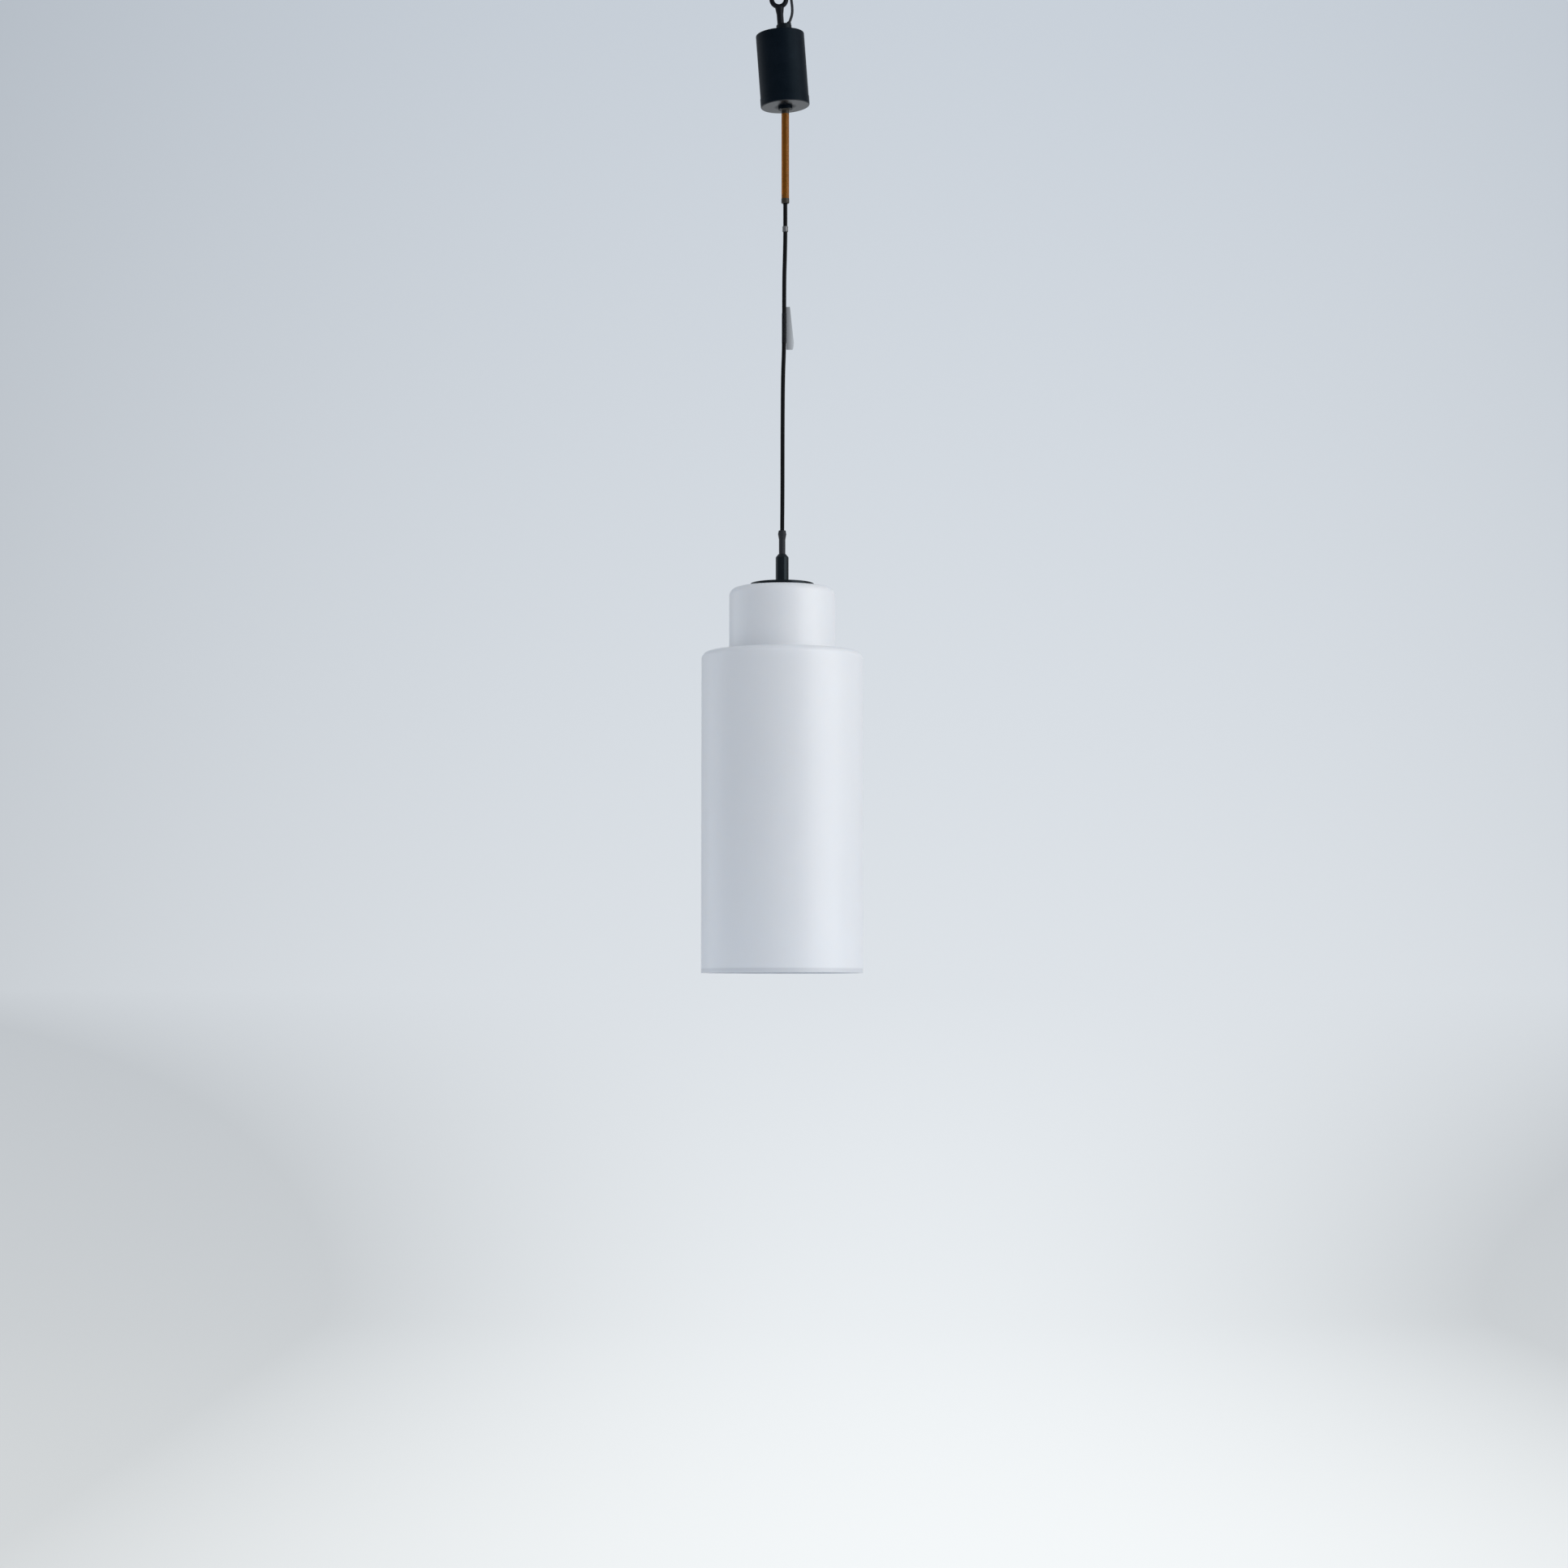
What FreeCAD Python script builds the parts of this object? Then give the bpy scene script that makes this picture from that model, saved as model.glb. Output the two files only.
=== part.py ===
"""Rise and fall pendant: a blown opal glass shade hung on a spring reel, from a hook in a ceiling canopy.

The frame has its origin on the ceiling, plumb above the hook, with +Z up, so the lamp hangs along -Z.
The reel's pieces are drawn upright about the centre of its cord nozzle and placed with the reel's tilt.
The lamp's pieces are drawn about the centre of the glass's top face.
"""

import FreeCAD, Part
import math
import os
import re
from types import SimpleNamespace

import Sketcher

Vector = FreeCAD.Vector

# Underside of the nut that holds the eye, above the nozzle centre.
UNDER_NUT = "reel_height - reel_roof - frame_sheet - shank_nut_height"

# Driving dimensions: name, value in millimetres (angles in degrees), meaning.
SIZES = [
    ("pivot_drop", 76.5, "ceiling to the line that the eye swings about"),
    ("eye_height", 140.4, "nozzle centre to the swing line, along the reel"),
    ("eye_offset", 2.0, "swing line beside the reel's axis"),
    ("reel_tilt", 4.2, "lean of the reel, its top to the left"),
    ("lamp_drop", 606.8, "nozzle centre to the top of the glass"),
    ("lamp_offset", 4.4, "lamp's axis beside the swing line"),
    ("joint_gap", 0.05, "clearance of a screwed or pushed-in joint"),
    ("hang_gap", 0.2, "clearance of the eye on the hook"),
    ("plate_length", 84.0, "ceiling strap"),
    ("plate_width", 22.0, "ceiling strap"),
    ("plate_thick", 2.0, "ceiling strap"),
    ("screw_spacing", 60.0, "between the ceiling screw holes"),
    ("screw_hole", 2.4, "radius of a ceiling screw hole"),
    ("tap_radius", 6.5, "boss that the hook screws into"),
    ("tap_depth", 7.0, "boss below the strap"),
    ("hook_wire", 2.5, "radius of the hook's rod"),
    ("hook_bend", 9.0, "centreline radius of the hook"),
    ("hook_turn", 7.0, "radius of the bend above the hook"),
    ("hook_point", 160.0, "where the hook's point ends, degrees round its bend"),
    ("rod_clear", 0.4, "canopy's hole round the hook's rod"),
    ("hook_nut_flats", 9.0, "lock nut under the boss"),
    ("hook_nut_height", 4.0, "lock nut under the boss"),
    ("canopy_rim", 50.0, "radius of the canopy at the ceiling"),
    ("canopy_base", 41.0, "radius of the canopy's base"),
    ("canopy_depth", 46.0, "canopy"),
    ("canopy_wall", 1.6, "canopy"),
    ("canopy_round", 7.0, "canopy's lower corner"),
    ("collar_radius", 8.0, "collar that holds the canopy up"),
    ("collar_height", 6.0, "collar that holds the canopy up"),
    ("collar_bevel", 1.0, "collar's lower edge"),
    ("collar_screw", 1.5, "radius of the collar's grub screw"),
    ("grub_sink", 0.4, "depth of a grub screw in its hole"),
    ("port_offset", 14.0, "supply flex's way through the canopy, beside the hook"),
    ("grommet_lip", 5.4, "radius of the rubber grommet's lips"),
    ("grommet_groove", 3.8, "radius in the grommet's groove"),
    ("grommet_height", 5.0, "rubber grommet"),
    ("block_width", 26.0, "terminal block across its ways"),
    ("block_depth", 14.0, "terminal block along its ways"),
    ("block_height", 12.0, "terminal block"),
    ("block_offset", 29.0, "terminal block's middle beside the hook"),
    ("block_pitch", 8.0, "between the terminal block's ways"),
    ("block_way", 2.0, "radius of one of its ways"),
    ("block_screw", 1.8, "radius of its screws"),
    ("block_screw_sink", 0.8, "depth of its screws' heads"),
    ("flex_radius", 1.7, "supply flex"),
    ("reel_radius", 30.7, "reel case"),
    ("reel_height", 92.5, "reel case"),
    ("reel_wall", 2.2, "reel case"),
    ("reel_roof", 2.6, "reel case's top"),
    ("reel_round", 1.6, "reel case's outer corners"),
    ("seam_height", 11.0, "joint of case and bottom cover"),
    ("seam_step", 0.4, "shell stands in from the cover"),
    ("cover_floor", 3.0, "bottom cover"),
    ("cover_lip", 5.0, "cover's spigot above the seam"),
    ("cover_lip_wall", 1.4, "cover's spigot"),
    ("boss_radius", 9.6, "boss on the reel's top"),
    ("boss_height", 12.0, "boss on the reel's top"),
    ("boss_offset", 5.8, "boss beside the reel's axis"),
    ("boss_round", 1.6, "boss's upper edge"),
    ("shank_radius", 4.2, "eye's threaded shank"),
    ("eye_wire", 3.0, "radius of the eye's section"),
    ("eye_hole", 6.0, "radius of the eye's hole"),
    ("neck_flare", 5.6, "radius where the shank meets the eye"),
    ("neck_height", 9.0, "cone between shank and eye"),
    ("shank_nut_flats", 13.0, "nut that holds the eye"),
    ("shank_nut_height", 6.4, "nut that holds the eye"),
    ("shank_end", 2.0, "eye's shank below its nut"),
    ("gland_offset", 11.7, "supply gland beside the reel's axis"),
    ("gland_lean", 22.0, "supply gland from plumb"),
    ("gland_radius", 2.8, "supply gland"),
    ("gland_height", 3.0, "supply gland above the boss"),
    ("gland_sink", 5.0, "supply gland inside the boss"),
    ("gland_bevel", 0.6, "supply gland's end"),
    ("frame_span", 35.6, "bracket across its cheeks"),
    ("frame_width", 38.0, "bracket along its cheeks"),
    ("frame_sheet", 1.5, "bracket's steel"),
    ("foot_clear", 0.3, "bracket's feet beside the nozzle's flange"),
    ("cover_screw_offset", 13.2, "cover screws beside the nozzle"),
    ("cover_screw", 1.5, "radius of a cover screw"),
    ("cover_screw_head", 2.8, "radius of its head"),
    ("cover_screw_sink", 1.5, "depth of its head"),
    ("cover_screw_length", 8.0, "cover screw"),
    ("axle_radius", 3.0, "drum's axle"),
    ("axle_fit", 0.05, "running clearance of the drum on its axle"),
    ("axle_end", 1.8, "axle beyond the bracket"),
    ("clip_radius", 5.0, "retaining clips on the axle"),
    ("clip_thick", 1.0, "retaining clips on the axle"),
    ("hub_bore", 11.7, "spring chamber's radius"),
    ("hub_radius", 13.3, "drum under the cord"),
    ("flange_radius", 23.8, "drum's flanges"),
    ("drum_clear", 8.2, "between the drum's flanges and the hanger's nut"),
    ("drum_height", f"={UNDER_NUT} - drum_clear - flange_radius", "drum's axis above the nozzle centre"),
    ("flange_thick", 1.2, "drum's flanges"),
    ("drum_inside", 26.0, "between the flanges"),
    ("bearing_radius", 5.5, "drum's bearing bosses"),
    ("bearing_length", 3.0, "drum's bearing bosses"),
    ("arbor_radius", 4.5, "sleeve that the mainspring hooks on"),
    ("arbor_gap", 0.4, "between the arbor and the bearings"),
    ("spring_strip", 0.35, "mainspring's thickness"),
    ("spring_turns", 7.0, "mainspring's turns"),
    ("ring_thick", 0.6, "slip rings"),
    ("ring_width", 2.0, "slip rings"),
    ("ring_inner", 8.0, "inner slip ring's bore radius"),
    ("ring_outer", 13.0, "outer slip ring's bore radius"),
    ("brush_gap", 0.05, "between brush and slip ring"),
    ("brush_plate", 1.0, "brush holder's thickness"),
    ("brush_width", 8.0, "brush holder"),
    ("brush_margin", 1.5, "brush holder beyond the slip rings"),
    ("cord_radius", 2.6, "lamp's cord"),
    ("swing_clear", 0.8, "between the cord in the reel and the cord that swings with the guide"),
    ("feed_run", 12.0, "cord's straight run off the drum"),
    ("throat_rise", 6.8, "cord's plumb run in the bell mouth"),
    ("wind_pitch", 5.65, "between turns on the drum"),
    ("wind_turns", 3.0, "turns in the drum's outer layer"),
    ("nozzle_radius", 8.8, "nozzle under the reel"),
    ("nozzle_drop", 3.4, "nozzle's lip below the ball's centre"),
    ("nozzle_flange", 10.3, "nozzle's flange on the cover"),
    ("nozzle_flange_thick", 2.0, "nozzle's flange on the cover"),
    ("nozzle_barrel", 9.4, "nozzle above its flange"),
    ("nozzle_top", 9.0, "nozzle above the ball's centre"),
    ("fairlead_height", 3.5, "bell mouth above the nozzle"),
    ("fairlead_bore", 4.6, "bell mouth's throat"),
    ("fairlead_mouth", 7.6, "bell mouth's rim"),
    ("ball_radius", 7.0, "guide's ball"),
    ("ball_fit", 0.08, "clearance of the ball in its socket"),
    ("guide_radius", 4.8, "guide tube"),
    ("guide_bore", 3.15, "guide tube"),
    ("guide_length", 123.0, "ball's centre to the guide's tip"),
    ("guide_neck", 9.0, "ball's neck below its centre"),
    ("guide_spigot", 3.95, "spigots at the tube's ends"),
    ("guide_overlap", 5.0, "length of those spigots"),
    ("tip_length", 6.0, "guide's tip"),
    ("tip_radius", 5.0, "guide's tip"),
    ("tip_bevel", 0.8, "guide's tip"),
    ("stop_gap", 29.0, "guide's tip to the crimped stop"),
    ("stop_radius", 3.6, "crimped stop"),
    ("stop_length", 7.0, "crimped stop"),
    ("stop_round", 0.7, "crimped stop's edges"),
    ("tag_top", 353.0, "flag on the cord, above the glass"),
    ("tag_length", 54.0, "flag on the cord"),
    ("tag_wrap", 0.35, "flag's thickness round the cord"),
    ("tag_fold_inset", 8.1, "fold's ends from the flag's ends"),
    ("tag_reach", 12.2, "flag's reach beside the cord"),
    ("tag_foot_reach", 10.6, "flag's foot beside the cord"),
    ("tag_foot_rise", 1.2, "slope of the flag's foot"),
    ("tag_corner", 8.0, "flag's outer corner above its foot"),
    ("tag_head", 3.6, "flag's head beside its fold"),
    ("tag_offset", 2.45, "cord beside the lamp's axis at the flag"),
    ("sleeve_radius", 4.0, "strain relief sleeve"),
    ("sleeve_height", 29.5, "strain relief sleeve"),
    ("sleeve_flare", 5.2, "mouth of the strain relief"),
    ("sleeve_mouth", 11.0, "height of that mouth"),
    ("sleeve_lip", 0.8, "slope of the mouth's edge"),
    ("sleeve_lip_height", 4.4, "height of the mouth's edge"),
    ("sleeve_spigot", 3.3, "strain relief inside the grip"),
    ("sleeve_sink", 9.0, "strain relief inside the grip"),
    ("sleeve_bore_gap", 0.1, "cord in its strain relief and in the flag"),
    ("grip_radius", 8.1, "cord grip"),
    ("grip_height", 33.5, "cord grip"),
    ("grip_cone", 4.0, "cord grip's tapered top"),
    ("grip_top_radius", 4.9, "cord grip's tapered top"),
    ("grip_thread_depth", 10.0, "nipple inside the grip"),
    ("grip_screw", 1.5, "radius of the grip's grub screw"),
    ("grip_screw_height", 17.0, "grub screw above the grip's foot"),
    ("cord_tail", 20.0, "cord above the grip's foot"),
    ("cap_nut_flats", 14.0, "nut between grip and cap"),
    ("cap_nut_height", 3.0, "nut between grip and cap"),
    ("cap_radius", 39.5, "metal cap on the glass"),
    ("cap_thick", 3.5, "metal cap on the glass"),
    ("cap_wall", 1.2, "cap's turned-down rim"),
    ("cap_clear", 0.3, "cap's turned-down rim above the glass"),
    ("cap_round", 1.0, "cap's upper edge"),
    ("felt_thick", 2.3, "felt rings above and below the glass"),
    ("felt_inner", 24.0, "felt rings"),
    ("felt_outer", 38.0, "felt rings"),
    ("glass_hole", 21.0, "hole in the glass's top"),
    ("neck_radius", 65.6, "glass's neck"),
    ("neck_drop", 80.2, "glass's neck"),
    ("neck_round", 10.5, "glass's upper corner"),
    ("body_radius", 99.8, "glass's body"),
    ("body_round", 9.0, "glass's shoulder"),
    ("glass_height", 476.5, "glass"),
    ("glass_wall", 3.5, "glass"),
    ("rim_bevel", 0.6, "glass's ground rim"),
    ("foot_round", 2.0, "glass's hollow corners where neck meets shoulder"),
    ("inner_plate_radius", 38.0, "plate inside the glass"),
    ("inner_plate_thick", 1.5, "plate inside the glass"),
    ("nipple_radius", 5.0, "threaded nipple"),
    ("nipple_bore", 3.5, "threaded nipple"),
    ("nipple_nut_flats", 14.0, "nut under the inner plate"),
    ("nipple_nut_height", 4.0, "nut under the inner plate"),
    ("holder_drop", 6.0, "nut to the lampholder's cap"),
    ("holder_collar", 8.0, "lampholder cap's threaded neck"),
    ("holder_collar_height", 8.0, "lampholder cap's threaded neck"),
    ("holder_radius", 20.0, "lampholder"),
    ("holder_cone", 12.0, "lampholder cap's slope"),
    ("holder_cap_height", 26.0, "lampholder's cap"),
    ("holder_shell_height", 30.0, "lampholder's lower shell"),
    ("holder_wall", 2.0, "lampholder"),
    ("holder_mouth", 14.2, "lampholder's bore for the lamp cap"),
    ("holder_step", 1.5, "lampholder shell's grip ring"),
    ("holder_ring_height", 10.0, "lampholder shell's grip ring"),
    ("holder_ring_foot", 2.0, "grip ring above the shell's foot"),
    ("insert_radius", 17.0, "lampholder's ceramic insert"),
    ("contact_radius", 3.5, "lampholder's centre contact"),
    ("contact_height", 1.6, "lampholder's centre contact"),
    ("lamp_cap_radius", 13.2, "bulb's screw cap"),
    ("lamp_cap_height", 23.0, "bulb's screw cap"),
    ("lamp_cap_bevel", 2.0, "bulb's screw cap under its contact"),
    ("lamp_cap_tip", 4.5, "bulb's centre contact radius"),
    ("lamp_cap_tip_height", 3.5, "bulb's centre contact"),
    ("bulb_radius", 30.0, "bulb's glass"),
    ("bulb_neck", 12.4, "bulb's glass at its cap"),
    ("bulb_length", 82.0, "bulb's glass below its cap"),
    ("bulb_slope", 40.0, "where the bulb's ball turns into its neck, degrees above its middle"),
    ("bulb_wall", 0.8, "bulb's glass"),
]

# Routes of the flexible cords, chosen point by point: (x, y, z) in the frame, or beside the lamp.
SUPPLY_BENDS = [(15.8, 0, -103.3), (17.2, 0, -96.4), (17.0, 0, -88.6), (15.4, 0, -76.5), (14.0, 0, -62.0)]
TAIL_BENDS = [(14, 0, -38), (12, 6, -29), (4, 12, -21), (-8, 12, -14), (-16, 7, -9.5)]
# Drift of the hanging cord beside the lamp's axis, and its height above the glass.
CORD_BENDS = [(3.4, 416), (2.5, 387), (2.5, 303), (1.0, 268), (0.5, 198), (0.4, 112), (0.0, 72)]

doc = FreeCAD.newDocument("RiseAndFallPendant")
sheet = doc.addObject("Spreadsheet::Sheet", "Sizes")
size = {}
for row, (alias, value, meaning) in enumerate(SIZES, start=1):
    sheet.set(f"A{row}", meaning)
    sheet.set(f"B{row}", str(value))
    sheet.setAlias(f"B{row}", alias)
    size[alias] = value
doc.recompute()
mm = SimpleNamespace(**{alias: sheet.get(alias) for alias in size})

made = []


def bound(text):
    """An expression over the sheet's cells, from plain size names."""
    return re.sub(r"[a-z_]+", lambda m: f"Sizes.{m[0]}" if m[0] in size else m[0], str(text))


def keep(piece, label):
    """Registers a finished piece under the name of its node."""
    piece.Label = label
    made.append(piece)
    return piece


# ---------------------------------------------------------------- places

NOZZLE_X = "(eye_height * sin(reel_tilt * 1deg) - eye_offset * cos(reel_tilt * 1deg))"
NOZZLE_Z = "(-pivot_drop - eye_height * cos(reel_tilt * 1deg) - eye_offset * sin(reel_tilt * 1deg))"
UPRIGHT = "vector(0; 1; 0); 0"
TILTED = "vector(0; 1; 0); -reel_tilt"
SIDEWAYS = "vector(1; 0; 0); -90"


def reel_spot(x, y, z):
    """Where a point of the upright reel lies once the reel is tilted."""
    return (
        f"{NOZZLE_X} + ({x}) * cos(reel_tilt * 1deg) - ({z}) * sin(reel_tilt * 1deg)",
        f"{y}",
        f"{NOZZLE_Z} + ({x}) * sin(reel_tilt * 1deg) + ({z}) * cos(reel_tilt * 1deg)",
    )


def put(piece, spot, turn=UPRIGHT):
    """Binds a piece's Placement to a spot and a turn given over the sheet's cells."""
    x, y, z = spot
    text = f"placement(vector({x}; {y}; {z}); rotation({turn}))"
    piece.setExpression("Placement", bound(text))


CEILING = ("0", "0", "0")
REEL = reel_spot("0", "0", "0")
DRUM = reel_spot("0", "0", "drum_height")
GUIDE = (NOZZLE_X, "0", NOZZLE_Z)
LAMP = ("lamp_offset", "0", f"{NOZZLE_Z} - lamp_drop")


def tilted_point(x, y, z):
    """A point of the upright reel as a vector in the frame."""
    tilt = math.radians(mm.reel_tilt)
    across, along = math.cos(tilt), math.sin(tilt)
    nozzle_x = mm.eye_height * along - mm.eye_offset * across
    nozzle_z = -mm.pivot_drop - mm.eye_height * across - mm.eye_offset * along
    return Vector(nozzle_x + x * across - z * along, y, nozzle_z + x * along + z * across)


# ---------------------------------------------------------------- drawing helpers


def new_body(name, spot, turn=UPRIGHT):
    """An empty body whose own frame stands at a spot with a turn."""
    body = doc.addObject("PartDesign::Body", name)
    put(body, spot, turn)
    return body


def plane(body, role):
    """One of the body's own origin planes or axes, by its role."""
    return next(f for f in body.Origin.OriginFeatures if f.Role == role)


def new_sketch(body, name, role, lift=None):
    """A sketch on one of the body's own planes, lifted along its normal if asked."""
    sketch = body.newObject("Sketcher::SketchObject", name)
    sketch.AttachmentSupport = (plane(body, role), [""])
    sketch.MapMode = "FlatFace"
    if lift is not None:
        sketch.setExpression("AttachmentOffset.Base.z", bound(lift))
    return sketch


def pin(sketch, geometry, corner, axis, text):
    """Ties one coordinate of a sketch point to an expression over the sheet's cells."""
    if text == "0":
        line = -2 if axis == "DistanceX" else -1
        sketch.addConstraint(Sketcher.Constraint("PointOnObject", geometry, corner, line))
        return
    number = sketch.addConstraint(Sketcher.Constraint(axis, -1, 1, geometry, corner, 1.0))
    sketch.setExpression(f"Constraints[{number}]", bound(text))


def draw_outline(sketch, corners):
    """A closed outline of straight lines through corners given as expression pairs."""
    first = sketch.GeometryCount
    count = len(corners)
    steps = [2 * math.pi * i / count for i in range(count)]
    places = [Vector(10 * math.cos(a), 10 * math.sin(a), 0) for a in steps]
    for i in range(count):
        sketch.addGeometry(Part.LineSegment(places[i], places[(i + 1) % count]), False)
    for i in range(count):
        following = first + (i + 1) % count
        sketch.addConstraint(Sketcher.Constraint("Coincident", first + i, 2, following, 1))
    for i, (x, y) in enumerate(corners):
        pin(sketch, first + i, 1, "DistanceX", x)
        pin(sketch, first + i, 1, "DistanceY", y)


def draw_circle(sketch, x, y, radius):
    """A circle whose centre and radius follow the sheet."""
    index = sketch.addGeometry(Part.Circle(Vector(1, 1, 0), Vector(0, 0, 1), 1.0), False)
    pin(sketch, index, 3, "DistanceX", x)
    pin(sketch, index, 3, "DistanceY", y)
    number = sketch.addConstraint(Sketcher.Constraint("Radius", index, 1.0))
    sketch.setExpression(f"Constraints[{number}]", bound(radius))


def draw_hexagon(sketch, flats):
    """A hexagon about the sketch's origin, given across its flats."""
    across = f"{flats} / cos(30deg) / 2"
    corners = [(f"{across} * cos({60 * i}deg)", f"{across} * sin({60 * i}deg)") for i in range(6)]
    corners[0] = (across, "0")
    corners[3] = (f"-{across}", "0")
    draw_outline(sketch, corners)


def lathe(name, corners, spot, turn=UPRIGHT):
    """A body turned about its Z axis from an outline of (radius, height) corners."""
    body = new_body(name, spot, turn)
    sketch = new_sketch(body, name + "_outline", "XZ_Plane")
    draw_outline(sketch, corners)
    revolution = body.newObject("PartDesign::Revolution", name + "_turned")
    revolution.Profile = sketch
    revolution.ReferenceAxis = (sketch, ["V_Axis"])
    revolution.Angle = 360
    body.Tip = revolution
    doc.recompute()
    return body


def pad(body, sketch, length, middle=False, down=False):
    """Extrudes a sketch by an expression's length."""
    feature = body.newObject("PartDesign::Pad", sketch.Name + "_pad")
    feature.Profile = sketch
    feature.setExpression("Length", bound(length))
    feature.Midplane = middle
    feature.Reversed = down
    body.Tip = feature
    doc.recompute()
    return feature


def pocket(body, sketch, length=None, middle=False, upward=False):
    """Cuts a sketch through its body, or to an expression's depth, and makes sure that it cuts."""
    before = body.Shape.Volume
    feature = body.newObject("PartDesign::Pocket", sketch.Name + "_cut")
    feature.Profile = sketch
    if length is None:
        feature.Type = "ThroughAll"
    else:
        feature.setExpression("Length", bound(length))
    feature.Midplane = middle
    feature.Reversed = upward
    body.Tip = feature
    doc.recompute()
    if body.Shape.Volume >= before - 1e-6:
        raise RuntimeError(f"{feature.Name} cuts nothing")
    return feature


def rings_at(shape, circles):
    """Names of the circular edges of the given (radius, height) about the shape's Z axis."""
    names = []
    for i, edge in enumerate(shape.Edges, start=1):
        curve = edge.Curve
        if not isinstance(curve, Part.Circle):
            continue
        for radius, height in circles:
            if abs(curve.Radius - radius) < 1e-3 and abs(curve.Center.z - height) < 1e-3:
                names.append(f"Edge{i}")
    return names


def dress(body, kind, circles, amount, prefix):
    """Rounds (Fillet) or bevels (Chamfer) the body's circular edges at these (radius, height) pairs."""
    base = body.Tip
    edges = rings_at(base.Shape, circles)
    if len(edges) < len(circles):
        raise RuntimeError(f"{body.Name} lacks an edge to dress: {circles}")
    feature = body.newObject(f"PartDesign::{kind}", prefix)
    feature.Base = (base, edges)
    feature.setExpression("Radius" if kind == "Fillet" else "Size", bound(amount))
    body.Tip = feature
    doc.recompute()
    return body


def nut(name, flats, height, bore, foot, spot, turn=UPRIGHT):
    """A hexagonal nut standing on the height foot of its own frame."""
    body = new_body(name, spot, turn)
    outline = new_sketch(body, name + "_hexagon", "XY_Plane", foot)
    draw_hexagon(outline, flats)
    draw_circle(outline, "0", "0", bore)
    pad(body, outline, height)
    return body


def cylinder(name, radius, height, spot, turn=UPRIGHT):
    """A plain Part cylinder whose sizes and place follow the sheet."""
    piece = doc.addObject("Part::Cylinder", name)
    piece.setExpression("Radius", bound(radius))
    piece.setExpression("Height", bound(height))
    put(piece, spot, turn)
    return piece


def join(name, pieces):
    """One solid of pieces that touch or overlap."""
    fused = doc.addObject("Part::MultiFuse", name)
    fused.Shapes = pieces
    return fused


def cut(name, base, tool):
    """The base with the tool's volume taken out of it."""
    left = doc.addObject("Part::Cut", name)
    left.Base = base
    left.Tool = tool
    return left


def group(name, pieces):
    """Separate like pieces kept under one name."""
    together = doc.addObject("Part::Compound", name)
    together.Links = pieces
    return together


def rounded_route(points):
    """Straight runs through the points, joined by the largest tangent arcs that the runs allow."""
    edges = []
    radii = []
    last = points[0]
    for before, corner, after in zip(points, points[1:], points[2:]):
        back = before - corner
        ahead = after - corner
        half_turn = (math.pi - back.getAngle(ahead)) / 2
        trim = 0.45 * min(back.Length, ahead.Length)
        radius = trim / math.tan(half_turn)
        radii.append(radius)
        start = corner + back.normalize() * trim
        end = corner + ahead.normalize() * trim
        inward = (back + ahead).normalize()
        middle = corner + inward * (math.hypot(radius, trim) - radius)
        edges.append(Part.LineSegment(last, start).toShape())
        edges.append(Part.Arc(start, middle, end).toShape())
        last = end
    edges.append(Part.LineSegment(last, points[-1]).toShape())
    return Part.Wire(edges), radii


def tube_along(name, points, radius):
    """A round cord along its route, with its bends printed and its volume compared with its length."""
    route, radii = rounded_route([Vector(*p) for p in points])
    start = Vector(*points[0])
    heading = Vector(*points[1]) - start
    section = Part.Wire(Part.Circle(start, heading, radius).toShape())
    shell = Part.BRepOffsetAPI.MakePipeShell(route)
    shell.add(section)
    shell.build()
    shell.makeSolid()
    solid = shell.shape()
    expected = math.pi * radius**2 * route.Length
    print(f"{name}: length {route.Length:.1f}, volume ratio {solid.Volume / expected:.4f}, ",
          "radii", [round(r) for r in radii])
    piece = doc.addObject("Part::Feature", name)
    piece.Shape = solid
    return piece


# ---------------------------------------------------------------- ceiling fitting


def ceiling_plate():
    """The steel strap against the ceiling, with two screw holes and the tapped boss of the hook."""
    body = new_body("ceiling_plate", CEILING)
    strap = new_sketch(body, "strap", "XY_Plane")
    long_side, short_side = "plate_length / 2", "plate_width / 2"
    draw_outline(strap, [
        (f"-{long_side}", f"-{short_side}"), (long_side, f"-{short_side}"),
        (long_side, short_side), (f"-{long_side}", short_side),
    ])
    pad(body, strap, "plate_thick", down=True)
    boss = new_sketch(body, "tap_boss", "XY_Plane", "-plate_thick")
    draw_circle(boss, "0", "0", "tap_radius")
    pad(body, boss, "tap_depth", down=True)
    holes = new_sketch(body, "holes", "XY_Plane")
    draw_circle(holes, "0", "0", "hook_wire + joint_gap")
    for side in ("-", ""):
        draw_circle(holes, f"{side}screw_spacing / 2", "0", "screw_hole")
    pocket(body, holes, "plate_thick + tap_depth + 1")
    return keep(body, "ceiling_plate")


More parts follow.
